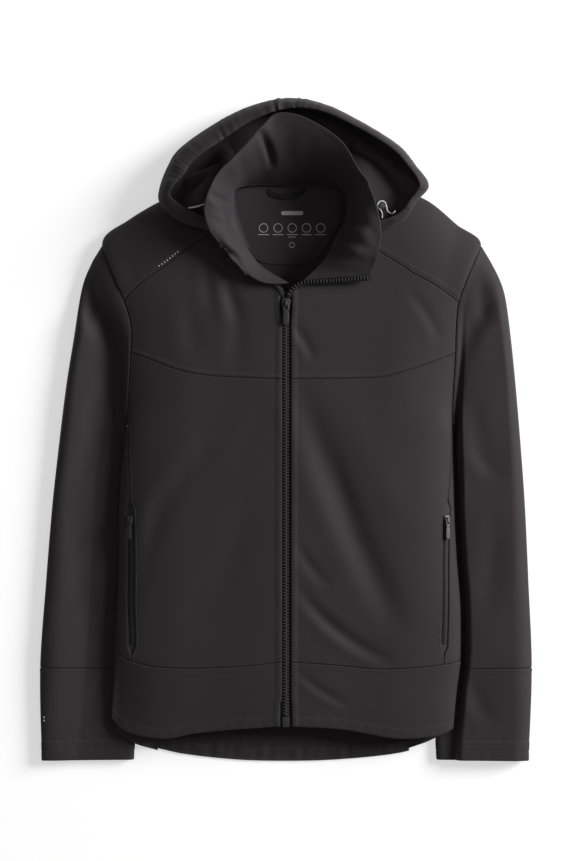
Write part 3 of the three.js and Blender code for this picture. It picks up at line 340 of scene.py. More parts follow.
SLEEVE_LEFT = Table(
    "v outX outY inX inY crown inner",
    ((0, 246, 232, 209.5, 8, 30, 24), (0.025, 251.5, 223, 210, 1, 32, 22),
     (0.06, 258, 212, 208.6, -12, 34, 18), (0.13, 270, 188, 204.6, -32, 37, 13),
     (0.2, 277, 164, 199.5, -54, 38, 11), (0.3, 284, 112, 195, -84, 38, 11),
     (0.4, 290, 52, 193, -120, 36, 11), (0.52, 296, -20, 189, -158, 34, 11),
     (0.64, 301.5, -98, 186, -206, 32, 11), (0.76, 306, -196, 184, -252, 31, 11),
     (0.86, 310, -298, 184, -300, 30, 11), (1, 306, -417, 190, -416, 25, 10.5)),
)
SLEEVE_RIGHT = Table(
    "v outX outY inX inY crown inner",
    ((0, 232, 232, 200.5, 8, 30, 24), (0.025, 237.5, 223, 201, 1, 32, 22),
     (0.06, 244, 212, 199.6, -12, 34, 18), (0.13, 254, 189, 197, -32, 37, 13),
     (0.2, 260, 164, 195, -54, 38, 11), (0.3, 268, 113, 191, -84, 38, 11),
     (0.4, 277, 57, 188, -120, 36, 11), (0.52, 286.5, -20, 186, -158, 34, 11),
     (0.64, 295, -98, 185, -206, 32, 11), (0.76, 303, -196, 185, -252, 31, 11),
     (0.86, 310, -298, 185, -300, 30, 11), (1, 308, -417, 192, -416, 25, 10.5)),
)
SLEEVE = {Side.LEFT: SLEEVE_LEFT, Side.RIGHT: SLEEVE_RIGHT}
NECK_CORNER_Q = {Side.LEFT: 0.248, Side.RIGHT: 0.229}  # where the yoke seam meets the neck
ZIP_HALF = 7.3  # from the zip's middle to the front's edge, at the slider and the box
ZIP_EDGE = {Side.LEFT: 6.2, Side.RIGHT: 4.7}  # the same where the zip is closed
ZIP_CLOSES = (-342, -338)  # heights between which the opening narrows over the box
ZIP_OPENS = (136, 150)  # heights between which it widens under the slider
CROWN_RUN = 90  # how far in from the side the front starts to fall
FLAT_SHARE = 0.55  # share of q over the level part of the front
DOME = 3
TURN_IN = 6  # how far in the side's turn ends
TURN_SHARE = 0.2
LOOSE_TO = 0.86  # q from which the creases fade towards the side edge
UNDER_FLAT = 0.5  # share of the run under the side from which it sinks to the floor
UNDER_FADE = 0.47
BODY_WAVE = 0.4  # height of the body's unevenness
BODY_WAVE_LONG = 110
SLEEVE_WAVE = 0.7
SLEEVE_WAVE_LONG = 62
ARMPIT_Y = 8
SHOULDER_TIP_Y = 232
TIP_Z = 10
POCKET_TOP_Y = -100
POCKET_FOOT_Y = -270
POCKET_HALF = 4.6
POCKET_TAPER = 14
SHOULDER_UNDER = 12  # how far the yoke turns in under the shoulder
YOKE_END = 1.3  # v at the end of that turn
YOKE_PITCH = 1.25  # share of the yoke's depth at which its height over the floor ends
LAST_Q = 0.998
FLANK_TOP_Y = ARMPIT_Y - 3
FLANK_SHARE = 0.8  # the part of the front's height that has the side panel beside it
FLANK_STEP = 0.005
NECK_SEAM_Y = 309.6
SHOULDER_END = 240
BACK_INSET = 2.6  # from the armhole to the back panel
NECK_REACH = (66, 77)  # from the middle, where the back's head changes from neck seam to shoulder
SLEEVE_TURN = 0.16  # how far c runs past both folds
# From the body's edge: where the sleeve starts to rise and where it is full
SLEEVE_VALLEY = {Side.LEFT: (1.5, 13.0), Side.RIGHT: (2.0, 96.0)}
SLEEVE_FULL = {Side.LEFT: 0.84, Side.RIGHT: 0.66}  # share of the solid's height, as the cloth sinks in on top
HEAD_FADE = (0.36, 0.06)  # v over which the sleeve leaves the armhole, at its outer and inner edge
HEAD_BLEND = (0.16, 0.06)  # v over which its height does
CUFF_SEAM_V = 0.862
SLEEVE_OUT_RUN = 24
SLEEVE_IN_RUN = 9
SLEEVE_OUT_Z = 11
SLEEVE_IN_Z = 5.5
SLEEVE_UNDER = 12
COLLAR_FLARE = 0.16  # height of the collar's bulge, as a share of its depth
COLLAR_STEEP = 40  # rise of the collar over which it is steep
COLLAR_ROLL = 6  # height of the roll of the left front edge
RIGHT_EDGE_BOW = 15
HOOD_TURN = 22  # length of the turn under the hood's outline
HOOD_TURN_MOST = 0.45
HOOD_KNEE = 0.3  # share of t under the hood that the turn takes
HOOD_LIFT = 3.2
HOOD_BRIM_T = 0.14
HOOD_SEAMS = (0.4, 0.64)

BODY_FOLDS = (
    Fold(14, 62, 146, -256, 5.4, 17, 7, 0.2),
    Fold(14, -196, 136, -292, 3.0, 8, 12, 0.3),
    Fold(12, -138, 56, -198, 1.6, 7, 4, 0.2),
    Fold(14, -302, 80, -346, 1.6, 5, 4, 0.3),
    Fold(72, 60, 150, -120, -1.4, 24, 10),
    Fold(-120, 170, -108, 84, 1.3, 13, 4),
    Fold(-62, 166, -66, 70, 1.3, 12, -4),
    Fold(-88, -20, -170, -150, 2.0, 14, 14),
    Fold(-48, -80, -120, -250, 1.2, 20, -12),
    Fold(152, 176, 196, 108, 1.3, 7, -4, 0.2),
)
SLEEVE_FOLDS = (
    Fold(222, 96, 276, 176, 2.4, 12, -10),
    Fold(236, 40, 262, -60, 1.5, 13, 6),
    Fold(258, -90, 250, -250, 1.3, 14, -6),
    Fold(228, -300, 262, -372, 1.3, 11, 5),
    Fold(246, 190, 252, 130, 1.6, 8, 3),
)
BODY_CREASES = (
    Fold(60, -20, 96, -120, 0.6, 9, 6),
    Fold(-150, -60, -176, -190, 0.9, 10, 5),
    Fold(-30, 40, -74, -60, 0.6, 12, -6),
    Fold(8, 134, 36, 86, 1.8, 6, -2),
    Fold(-74, 206, -58, 132, 2.4, 9, 3),
    Fold(-100, 214, -96, 150, 1.2, 9, -2),
    Fold(-214, -286, -210, -402, 4, 34, 0, 0.1),
)
SLEEVE_CREASES = (
    Fold(228, -10, 274, -64, 0.8, 9, 4),
    Fold(-226, 60, -262, 0, 0.9, 10, -4),
    Fold(-214, -120, -252, -190, 0.8, 12, 5),
)


# Surfaces of the solids


def armhole_z(side: Side, y: Array) -> Array:
    """Height of the side edge, which falls to the shoulder's tip over the yoke seam along an ellipse."""
    foot = CHEST_TOP(side.label, 1)
    share = np.clip((y - foot) / (SHOULDER_TIP_Y - foot), 0, 1)
    over = lerp(TIP_Z, BODY_SIDE("edgeZ", foot), np.sqrt(1 - share**2))
    return np.where(y <= foot, BODY_SIDE("edgeZ", y), over)


def front_edge(side: Side, y: Array) -> Array:
    """Half width of the opening between the fronts, which widens round the slider and at the zip's box."""
    closed = smooth(*ZIP_CLOSES, y) * (1 - smooth(*ZIP_OPENS, y))
    return lerp(ZIP_HALF, ZIP_EDGE[side], closed)


def body_point(side: Side, q: Array, y: Array) -> Array:
    """Outer surface of the body.

    Args:
        side: Wearer's side.
        q: 0 at the zip, 1 at the side edge, 2 at the back panel.
        y: Height along the body.

    Returns:
        Points: level in the middle, then on an arc down to the side, a turn under it and the flat underside.
    """
    q, y = np.broadcast_arrays(np.asarray(q, float), np.asarray(y, float))
    edge, edge_z, crown = BODY_SIDE(side.label, y), armhole_z(side, y), CROWN("z", y)
    turn, level = np.radians(BODY_SIDE("turn", y)), BODY_SIDE(side.label, y) - CROWN_RUN
    share = np.clip(q / FLAT_SHARE, 0, 1)
    angle = np.clip((q - FLAT_SHARE) / (1 - FLAT_SHARE), 0, 1) * turn
    fall = (np.cos(angle) - np.cos(turn)) / (1 - np.cos(turn))
    flat = q <= FLAT_SHARE
    arc_x = level + CROWN_RUN * np.sin(angle) / np.sin(turn)
    x = np.where(flat, lerp(front_edge(side, y), level, share), arc_x)
    z = np.where(flat, crown - DOME * smooth(0, 1, share), lerp(edge_z, crown - DOME, fall))
    loose = 1 - smooth(LOOSE_TO, 1, q)
    sx = side.sign * x
    drop = folded(BODY_FOLDS, sx, y) + folded(BODY_CREASES, sx, y)
    drop = drop - BODY_WAVE * uneven(sx, y, BODY_WAVE_LONG, 1.7)
    z = z - drop * loose
    under_z, run = BODY_SIDE("underZ", y), BODY_SIDE("underRun", y)
    t = np.clip(q - 1, 0, 1)
    bend = np.clip(t / TURN_SHARE, 0, 1) * math.pi / 2
    inset = lerp(TURN_IN, run, np.clip((t - TURN_SHARE) / (1 - TURN_SHARE), 0, 1))
    turning = t <= TURN_SHARE
    below_x = edge - np.where(turning, TURN_IN * (1 - np.cos(bend)), inset)
    flat_z = under_z * (1 - smooth(0, 1, (inset - UNDER_FLAT * run) / (UNDER_FADE * run)))
    below_z = np.where(turning, lerp(edge_z, under_z, np.sin(bend)), flat_z)
    top = q <= 1
    return stack(side.sign * np.where(top, x, below_x), y, np.where(top, z, below_z))


def q_in_from(y: Array, inset: Array) -> Array:
    """q of a line that lies a distance in from the side edge, on the falling part of the front."""
    turn = np.radians(BODY_SIDE("turn", y))
    angle = np.arcsin(np.clip(1 - inset / CROWN_RUN, 0, 1) * np.sin(turn))
    return FLAT_SHARE + (1 - FLAT_SHARE) * angle / turn


def side_seam_q(side: Side, y: Array, offset: Array) -> Array:
    """q of the seam between front and side panel, moved by an offset away from the side."""
    return q_in_from(y, SIDE_SEAM(side.label, y) + offset)


def pocket_half(y: Array) -> Array:
    """Half the gap between front and side panel at the pocket, which closes above and below it."""
    above = 1 - smooth(POCKET_TOP_Y, POCKET_TOP_Y + POCKET_TAPER, y)
    below = smooth(POCKET_FOOT_Y - POCKET_TAPER, POCKET_FOOT_Y, y)
    return SEAM + (POCKET_HALF - SEAM) * above * below


def yoke_point(side: Side, u: Array, v: Array) -> Array:
    """Outer surface of a yoke, on a quarter of an ellipse that is turned under at the shoulder line.

    Args:
        side: Wearer's side.
        u: 0 at the neck, 1 at the armhole.
        v: 0 at its seam, 1 at the shoulder line, YOKE_END under it.

    Returns:
        Points.
    """
    u, v = np.broadcast_arrays(np.asarray(u, float), np.asarray(v, float))
    q = lerp(NECK_CORNER_Q[side], LAST_Q, u)
    seam = body_point(side, q, CHEST_TOP(side.label, q) + SEAM)
    line = stack(side.sign * SHOULDER_LINE(side.label + "X", u), SHOULDER_LINE(side.label + "Y", u), TIP_Z)
    share = np.minimum(v, 1) * math.pi / 2
    point = lerp(seam, line, np.sin(share)[..., None])
    point[..., 2] = lerp(TIP_Z, seam[..., 2], np.cos(share))
    armhole = side.sign * (BODY_SIDE(side.label, point[..., 1]) - SEAM)
    point[..., 0] = lerp(point[..., 0], armhole, smooth(0.8, 1, u) * smooth(0, 0.12, v))
    angle = np.clip((v - 1) / (YOKE_END - 1), 0, 1) * math.pi / 2
    inward = seam - line
    inward[..., 2] = 0
    point += unit(inward) * (SHOULDER_UNDER * (1 - np.cos(angle)))[..., None]
    point[..., 2] = np.where(v > 1, TIP_Z * (1 - np.sin(angle)), point[..., 2])
    return point


def sleeve_plan(side: Side, across: Array, v: Array) -> tuple[Array, Array]:
    """Place of the sleeve seen from above: across runs from the outer edge (0) to the inner edge (1)."""
    rows = SLEEVE[side]
    x = lerp(rows("outX", v), rows("inX", v), across)
    y = lerp(rows("outY", v), rows("inY", v), across)
    arm_x = BODY_SIDE(side.label, lerp(SHOULDER_TIP_Y, ARMPIT_Y, across)) + GAP
    fade = lerp(*HEAD_FADE, smooth(0.5, 1, across))
    start = lerp(rows("outX", 0), rows("inX", 0), across)
    return x + (arm_x - start) * (1 - smooth(0, 1, v / fade)), y


def sleeve_point(side: Side, c: Array, v: Array) -> Array:
    """Upper sleeve: two quarter ellipses that meet on the crown, sunk into the valley beside the body.

    Args:
        side: Wearer's side.
        c: 0 at the outer fold, 1 at the inner fold, and past both on the turns below.
        v: 0 at the armhole, 1 at the end of the cuff.

    Returns:
        Points.
    """
    c, v = np.broadcast_arrays(np.asarray(c, float), np.asarray(v, float))
    rows = SLEEVE[side]
    width = np.hypot(rows("outX", v) - rows("inX", v), rows("outY", v) - rows("inY", v))
    past = np.where(c < 0, -c, np.maximum(c - 1, 0)) / SLEEVE_TURN * math.pi / 2
    inset = SLEEVE_UNDER / width * (1 - np.cos(past))
    top = (1 - np.cos(math.pi * np.clip(c, 0, 1))) / 2
    x, y = sleeve_plan(side, np.where(c < 0, inset, top - inset), v)
    from_out = np.minimum(top * width / SLEEVE_OUT_RUN, 1)
    from_in = np.minimum((1 - top) * width / SLEEVE_IN_RUN, 1)
    middle = lerp(SLEEVE_OUT_Z, SLEEVE_IN_Z, top)
    low, high = SLEEVE_VALLEY[side]
    beside = x - BODY_SIDE(side.label, np.minimum(y, SHOULDER_TIP_Y))
    crown = lerp(rows("inner", v), rows("crown", v), smooth(low, high, beside))
    crown = np.maximum(crown * SLEEVE_FULL[side], np.minimum(crown, rows("inner", v)))
    rise = np.sqrt(1 - (1 - from_out) ** 2) * np.sqrt(1 - (1 - from_in) ** 2)
    sx = side.sign * x
    wave = SLEEVE_WAVE * uneven(sx, y * 0.55, SLEEVE_WAVE_LONG, 5.1)
    loose = folded(SLEEVE_FOLDS, x, y) + folded(SLEEVE_CREASES, sx, y) - wave
    tube = lerp(middle, crown, rise) - loose * rise
    blend = lerp(*HEAD_BLEND, smooth(0.7, 1, top))
    z = lerp(armhole_z(side, lerp(SHOULDER_TIP_Y, ARMPIT_Y, top)), tube, smooth(0, 1, v / blend))
    return stack(sx, y, z * (1 - np.sin(past)))


def back_edge_x(side: Side, y: Array) -> Array:
    """Half width of the back panel: inside the side panels' turns and, over the armpit, at the armhole."""
    below = BODY_SIDE(side.label, y) - BODY_SIDE("underRun", y)
    return lerp(below, BODY_SIDE(side.label, y) - BACK_INSET, smooth(FLANK_TOP_Y, FLANK_TOP_Y + 1, y)) - GAP


def back_head_y(side: Side, reach: Array) -> Array:
    """Where the back panel ends: at the neck seam, and inside the yoke's turn at the shoulder."""
    u = np.linspace(0, 1, 400)
    share = np.interp(reach, SHOULDER_LINE(side.label + "X", u), u)
    shoulder = SHOULDER_LINE(side.label + "Y", share) - 1.4 * SHOULDER_UNDER
    return lerp(NECK_SEAM_Y, shoulder, smooth(*NECK_REACH, reach))


def shoulder_z(x: Array, y: Array) -> Array:
    """Height of the yokes over places, which is 0 away from them."""
    total = np.zeros(np.broadcast(x, y).shape)
    for side in Side:
        neck = float(SHOULDER_LINE(side.label + "X", 0))
        u = np.clip((np.abs(x) - neck) / (SHOULDER_END - neck), 0, 1)
        q = lerp(NECK_CORNER_Q[side], LAST_Q, u)
        seam = body_point(side, q, CHEST_TOP(side.label, q))
        share = (y - seam[..., 1]) / (SHOULDER_LINE(side.label + "Y", u) - seam[..., 1])
        arc = np.sqrt(1 - np.clip(share, 0, 1) ** 2)
        height = np.where(share < 1, lerp(TIP_Z, seam[..., 2], arc), TIP_Z)
        height = height * (1 - smooth(1, YOKE_PITCH, share)) * smooth(neck - 20, neck - 8, np.abs(x))
        total = np.where(x * side.sign >= 0, height, total)
    return total


def collar_point(a: Array, w: Array) -> Array:
    """Visible inside of the collar: straight from seam to top edge, with a bulge like half a sine wave.

    Args:
        a: 0 at the left front edge, 1 at the right one.
        w: 0 at the neck seam, 1 at the top edge.

    Returns:
        Points.
    """
    a, w = np.broadcast_arrays(np.asarray(a, float), np.asarray(w, float))
    base = stack(*(COLLAR("base" + k, a) for k in "XYZ"))
    top = stack(*(COLLAR("top" + k, a) for k in "XYZ"))
    point = lerp(base, top, w[..., None])
    hump = np.sin(math.pi * w)
    run = np.linalg.norm(base - top, axis=-1)
    steep = smooth(0, COLLAR_STEEP, np.abs(top[..., 2] - base[..., 2]))
    bulge = COLLAR_FLARE * run * hump * (0.4 + 0.6 * steep)
    point[..., 2] += bulge * smooth(0, 0.12, a) * (1 - smooth(0.9, 1, a))
    point[..., 1] -= RIGHT_EDGE_BOW * hump * smooth(0.88, 1, a)
    point[..., 2] += COLLAR_ROLL * hump**1.5 * smooth(0.02, 0.1, a) * (1 - smooth(0.16, 0.26, a))
    return point


def hood_floor(x: Array, y: Array) -> Array:
    """Lowest level of the hood over the shoulders."""
    shoulder = shoulder_z(x, y)
    return np.where(shoulder > 0, shoulder + HOOD_LIFT, 0)


def hood_point(a: Array, t: Array) -> Array:
    """Outside of the hood: t from the root (-1) under the hood to the outline (0) and up to the rim (1)."""
    a, t = np.broadcast_arrays(np.asarray(a, float), np.asarray(t, float))
    out, rim, root = (stack(*(HOOD(name + k, a) for k in "XYZ")) for name in ("out", "rim", "root"))
    up = np.clip(t, 0, 1) * math.pi / 2
    above = lerp(out, rim, (1 - np.cos(up))[..., None])
    above[..., 2] = lerp(out[..., 2], rim[..., 2], np.sin(up))
    low = HOOD("lowZ", a)
    length = np.linalg.norm((out - root)[..., :2], axis=-1)
    turn = np.minimum(HOOD_TURN / length, HOOD_TURN_MOST)
    back, knee = np.clip(-t, 0, 1), HOOD_KNEE
    angle = np.clip(back / knee, 0, 1) * math.pi / 2
    share = np.clip((back - knee) / (1 - knee), 0, 1)
    near = back <= knee
    place = np.where(near, turn * (1 - np.cos(angle)), lerp(turn, 1, share))
    below = lerp(out, root, place[..., None])
    beyond = lerp(low, root[..., 2], smooth(0, 1, share))
    level = np.where(near, lerp(out[..., 2], low, np.sin(angle)), beyond)
    below[..., 2] = np.maximum(level, hood_floor(below[..., 0], below[..., 1]))
    return np.where((t >= 0)[..., None], above, below)


# Finishes


class NodeTree:
    """Node tree of one material, with short calls for the nodes that the finishes use."""

    def __init__(self, name: str) -> None:
        """Sets up the node tree that the methods add to."""
        self.material = bpy.data.materials.new(name)
        self.material.use_nodes = True
        self.tree = self.material.node_tree
        self.shader = self.tree.nodes["Principled BSDF"]

    def feed(self, socket: bpy.types.NodeSocket, value: object) -> None:
        """Sets a socket to a constant, or links it to another node's output."""
        if isinstance(value, bpy.types.NodeSocket):
            self.tree.links.new(value, socket)
        else:
            socket.default_value = value

    def coordinates(self, kind: str) -> bpy.types.NodeSocket:
        """Object or UV coordinates."""
        return self.tree.nodes.new("ShaderNodeTexCoord").outputs[kind]

    def noise(self, where: bpy.types.NodeSocket, size: float, detail: float = 3.0) -> bpy.types.NodeSocket:
        """Noise between 0 and 1 whose features are about size metres wide."""
        node = self.tree.nodes.new("ShaderNodeTexNoise")
        self.feed(node.inputs["Vector"], where)
        self.feed(node.inputs["Scale"], 1 / size)
        self.feed(node.inputs["Detail"], detail)
        return node.outputs[0]

    def math(self, kind: str, a: object, b: object = 0.0, c: object = 0.0) -> bpy.types.NodeSocket:
        """Result of a math node."""
        node = self.tree.nodes.new("ShaderNodeMath")
        node.operation = kind
        for socket, value in zip(node.inputs, (a, b, c)):
            self.feed(socket, value)
        return node.outputs[0]

    def tinted(self, colour: Sequence[float], factor: bpy.types.NodeSocket) -> bpy.types.NodeSocket:
        """A colour times a factor."""
        node = self.tree.nodes.new("ShaderNodeVectorMath")
        node.operation = "SCALE"
        self.feed(node.inputs[0], tuple(colour))
        self.feed(node.inputs["Scale"], factor)
        return node.outputs[0]

    def bumped(self, height: bpy.types.NodeSocket, depth: float, strength: float = 1.0) -> None:
        """Tilts the surface by a height between 0 and 1 that stands for depth metres."""
        node = self.tree.nodes.new("ShaderNodeBump")
        self.feed(node.inputs["Height"], height)
        self.feed(node.inputs["Distance"], depth)
        self.feed(node.inputs["Strength"], strength)
        self.tree.links.new(node.outputs[0], self.shader.inputs["Normal"])


@dataclass(frozen=True)
class Finish:
    """Look of one kind of surface.

    Attributes:
        name: Name of the material.
        colour: Linear base colour.
        roughness: Roughness of the surface.
        specular: Strength of its reflection.
        sheen: Strength of the nap's sheen.
        metallic: 1 for bare metal.
        clouds: Share by which the colour changes over some centimetres.
        mottle: Share by which it changes over a few grains.
        grain: Size of the grain in metres.
        relief: Depth of grain and weave in metres.
        weave: Pitch of the weave in metres, or 0.
        twill: Slant of the weave: 0 is plain, 1 runs at 45 degrees.
        glow: Strength of its own light, for the floor alone.
    """

    name: str
    colour: tuple[float, float, float]
    roughness: float = 0.75
    specular: float = 0.25
    sheen: float = 0.0
    metallic: float = 0.0
    clouds: float = 0.08
    mottle: float = 0.12
    grain: float = 0.0012
    relief: float = 0.00003
    weave: float = 0.0
    twill: float = 1.0
    glow: float = 0.0

    def material(self) -> bpy.types.Material:
        """The finish as a material, made once."""
        made = bpy.data.materials.get(self.name)
        if made:
            return made
        nodes = NodeTree(self.name)
        where = nodes.coordinates("Object")
        cloud = nodes.noise(where, 0.07)
        grain = nodes.noise(where, self.grain, 4.0)
        factor = nodes.math("MULTIPLY_ADD", cloud, 2 * self.clouds, 1 - self.clouds)
        factor = nodes.math("MULTIPLY_ADD", nodes.math("SUBTRACT", grain, 0.5), 2 * self.mottle, factor)
        height = grain
        if self.weave:
            height = nodes.math("ADD", grain, self._weave(nodes))
            over = nodes.math("SUBTRACT", height, 1.0)
            factor = nodes.math("MULTIPLY_ADD", over, 0.5 * self.mottle, factor)
        shader = nodes.shader.inputs
        nodes.feed(shader["Base Color"], nodes.tinted(self.colour, factor))
        nodes.feed(shader["Roughness"], nodes.math("MULTIPLY_ADD", cloud, 0.1, self.roughness - 0.05))
        shader["Metallic"].default_value = self.metallic
        shader["Specular IOR Level"].default_value = self.specular
        shader["Sheen Weight"].default_value = self.sheen
        shader["Sheen Roughness"].default_value = 0.45
        shader["Emission Color"].default_value = (1.0, 1.0, 1.0, 1.0)
        shader["Emission Strength"].default_value = self.glow
        nodes.bumped(height, self.relief)
        return nodes.material

    def _weave(self, nodes: NodeTree) -> bpy.types.NodeSocket:
        """Threads that cross: the product of two sines along the cloth's own directions, between 0 and 1."""
        split = nodes.tree.nodes.new("ShaderNodeSeparateXYZ")
        nodes.feed(split.inputs[0], nodes.coordinates("UV"))
        turn = 2 * math.pi / self.weave
        slant = nodes.math("MULTIPLY_ADD", split.outputs[1], self.twill, split.outputs[0])
        across = nodes.math("SINE", nodes.math("MULTIPLY", slant, turn))
        length = nodes.math("SINE", nodes.math("MULTIPLY", split.outputs[1], turn))
        return nodes.math("MULTIPLY_ADD", nodes.math("MULTIPLY", across, length), 0.5, 0.5)


SHELL = Finish("softshell_face", (0.0206, 0.0162, 0.0184), 0.7, 0.2, 0.06, weave=0.0011)
FLEECE = Finish(
    "softshell_inside", (0.036, 0.030, 0.032), 0.9, 0.1, 0.1, grain=0.0022, relief=0.00012, mottle=0.2
)
FACING = Finish("facing_jersey", (0.036, 0.031, 0.033), 0.85, 0.15, 0.1, weave=0.0014, twill=0.0)
THREAD = Finish("thread", (0.05, 0.0455, 0.0475), 0.6, 0.3, grain=0.0004)
POCKET_TAPE = Finish("pocket_tape", (0.027, 0.0255, 0.026), 0.8, 0.2, weave=0.0012, twill=0.0)
# Own dark colour of the zip tapes and the hanger loop; on the seam allowances the same darkness is painted
# shade in the seams' gaps
TAPE_AND_SEAM_SHADE = Finish("tape_and_painted_seam_shade", (0.013, 0.0123, 0.013), 0.8, 0.2, weave=0.0012, twill=0.0)
TEETH = Finish("zip_teeth", (0.042, 0.041, 0.042), 0.42, 0.5, grain=0.0008, relief=0.00001, mottle=0.1)
COIL = Finish("zip_coil", (0.026, 0.0245, 0.025), 0.6, 0.25, grain=0.0008, relief=0.00001, mottle=0.1)
SLIDER = Finish("slider_metal", (0.030, 0.030, 0.031), 0.36, 0.5, metallic=0.35, grain=0.0009, relief=0.00001)
PULL = Finish("pull_metal", (0.022, 0.021, 0.0215), 0.42, 0.45, metallic=0.1, grain=0.0009, relief=0.00002)
CORD = Finish("cord_braid", (0.62, 0.62, 0.60), 0.7, 0.3, grain=0.0007, relief=0.00012, mottle=0.25)
LOCK = Finish("cord_lock_plastic", (0.06, 0.06, 0.062), 0.38, 0.5, grain=0.0006, relief=0.00001)
PRINT = Finish("print", (0.36, 0.35, 0.35), 0.7, 0.2, grain=0.0007, mottle=0.3)
FLOOR = Finish("floor_paper", (0.46, 0.46, 0.46), 0.9, 0.0, clouds=0.0, mottle=0.0, relief=0.0, glow=0.57)


# Meshes


def add_mesh(
    name: str,
    points: Array,
    faces: Sequence[Array],
    finishes: Sequence[Finish],
    body: str | None = BODY,
    uv: Array | None = None,
    parts: Array | None = None,
    sharp: float = 50.0,
) -> bpy.types.Object:
    """Makes an object from points and faces and lets it ride on a body.

    Args:
        name: Name of the object.
        points: Points in millimetres.
        faces: Arrays of point numbers, one array for each number of corners.
        finishes: Finishes of its material slots.
        body: The body it moves with, or None for the stage.
        uv: Place of each point on the cloth, in metres.
        parts: Material slot of each face.
        sharp: Angle in degrees over which an edge stays sharp.

    Returns:
        The object.
    """
    mesh = bpy.data.meshes.new(name)
    corners = np.concatenate([f.ravel() for f in faces])
    sizes = np.concatenate([np.full(len(f), f.shape[1]) for f in faces])
    mesh.vertices.add(len(points))
    mesh.vertices.foreach_set("co", (points * MM).astype(np.float32).ravel())
    mesh.loops.add(len(corners))
    mesh.loops.foreach_set("vertex_index", corners.astype(np.int32))
    mesh.polygons.add(len(sizes))
    mesh.polygons.foreach_set("loop_start", (np.cumsum(sizes) - sizes).astype(np.int32))
    if uv is not None:
        mesh.uv_layers.new(name="UVMap").data.foreach_set("uv", uv[corners].astype(np.float32).ravel())
    for finish in finishes:
        mesh.materials.append(finish.material())
    if parts is not None:
        mesh.polygons.foreach_set("material_index", parts.astype(np.int32))
    mesh.polygons.foreach_set("use_smooth", np.ones(len(sizes), bool))
    mesh.update(calc_edges=True)
    mesh.validate()
    mesh.set_sharp_from_angle(angle=math.radians(sharp))
    piece = bpy.data.objects.new(name, mesh)
    bpy.context.scene.collection.objects.link(piece)
    if body:
        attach(piece, body)
    log.info("%s: %d faces", name, len(sizes))
    return piece


def outward(points: Array, faces: Sequence[Array]) -> list[Array]:
    """Faces turned round if the closed form they make is inside out, from the sign of its volume."""
    volume = 0.0
    for f in faces:
        for k in range(1, f.shape[1] - 1):
            a, b, c = points[f[:, 0]], points[f[:, k]], points[f[:, k + 1]]
            volume += float(np.sum(a * np.cross(b, c)))
    return [f[:, ::-1] for f in faces] if volume < 0 else list(faces)


def grid_faces(rows: int, columns: int, first: int = 0) -> Array:
    """Quads of a grid of points that is stored row by row."""
    k = np.arange(rows * columns).reshape(rows, columns) + first
    return np.stack([k[:-1, :-1], k[:-1, 1:], k[1:, 1:], k[1:, :-1]], axis=-1).reshape(-1, 4)


def closed_faces(rows: int, columns: int) -> tuple[Array, Array, Array]:
    """Quads of a closed sheet: its upper grid, the band round its rim and its lower grid."""
    count = rows * columns
    k = np.arange(count).reshape(rows, columns)
    loop = np.concatenate([k[0, :-1], k[:-1, -1], k[-1, :0:-1], k[:0:-1, 0]])
    after = np.roll(loop, -1)
    rim = np.stack([after, loop, loop + count, after + count], axis=-1)
    return grid_faces(rows, columns), rim, grid_faces(rows, columns, count)[:, ::-1]


def turned_faces(rings: int, sides: int) -> list[Array]:
    """Faces of a form through rings of points, stored ring by ring: its wall and its two flat ends."""
    k = np.arange(rings * sides).reshape(rings, sides)
    after = np.roll(k, -1, axis=1)
    walls = np.stack([k[:-1], after[:-1], after[1:], k[1:]], axis=-1).reshape(-1, 4)
    return [walls, np.stack([k[0][::-1], k[-1]])]


def instances(template: Array, origin: Array, axes: Array) -> Array:
    """Points of a small form at many places, each with its own three axes."""
    return (origin[:, None, :] + np.einsum("tk,nkd->ntd", template, axes)).reshape(-1, 3)


def copies(faces: Sequence[Array], size: int, count: int) -> list[Array]:
    """Faces of that many copies of a form with size points."""
    step = np.arange(count) * size
    return [(f[None] + step[:, None, None]).reshape(-1, f.shape[1]) for f in faces]


@dataclass(frozen=True)
class Edge:
    """How a piece of cloth ends: rolled over, on its seam allowance, with rows of stitches.

    Attributes:
        roll: How deep the rolled edge falls.
        reach: How far in that begins.
        ridge: Height of the cloth over the allowance.
        width: Width of the allowance.
        rows: Distances of the rows of stitches from the edge.
        pucker: Height of the small waves beside the stitches.
    """

    roll: float = 0.9
    reach: float = 1.7
    ridge: float = 0.0
    width: float = 6.0
    rows: tuple[float, ...] = ()
    pucker: float = 0.1

    def relief(self, away: Array, place: Array, seed: float) -> Array:
        """Height of the edge's form over the plain surface.

        Args:
            away: Distance from the edge.
            place: Length along it.
            seed: Shifts the small waves.

        Returns:
            Heights in millimetres.
        """
        share = 1 - np.clip(away / self.reach, 0, 1)
        height = self.roll * (np.sqrt(1 - share**2) - 1)
        height = height + self.ridge * (1 - smooth(self.width - 1, self.width + 1, away))
        for row in self.rows:
            height = height - 0.42 * bell(away - row, 0.75)
        return height + self.pucker * uneven(place, away * 0.5, 12, seed) * bell(away, 1.5 * self.width)


TURNED = Edge()
STITCHED = Edge(ridge=0.45, width=5.8, rows=(4.7,))
TWICE = Edge(ridge=0.5, width=8.4, rows=(1.9, 7.2))
# Distances of the rows of points beside a seam
NEAR_ENDS = (0.0, 0.35, 0.8, 1.4, 2.2, 3.2, 4.3, 5.2, 5.9, 6.6, 7.4, 8.6, 10.0)
ALLOWANCE_THICK = 0.4
FLOOR_CLEAR = 0.1  # lowest height of a seam allowance


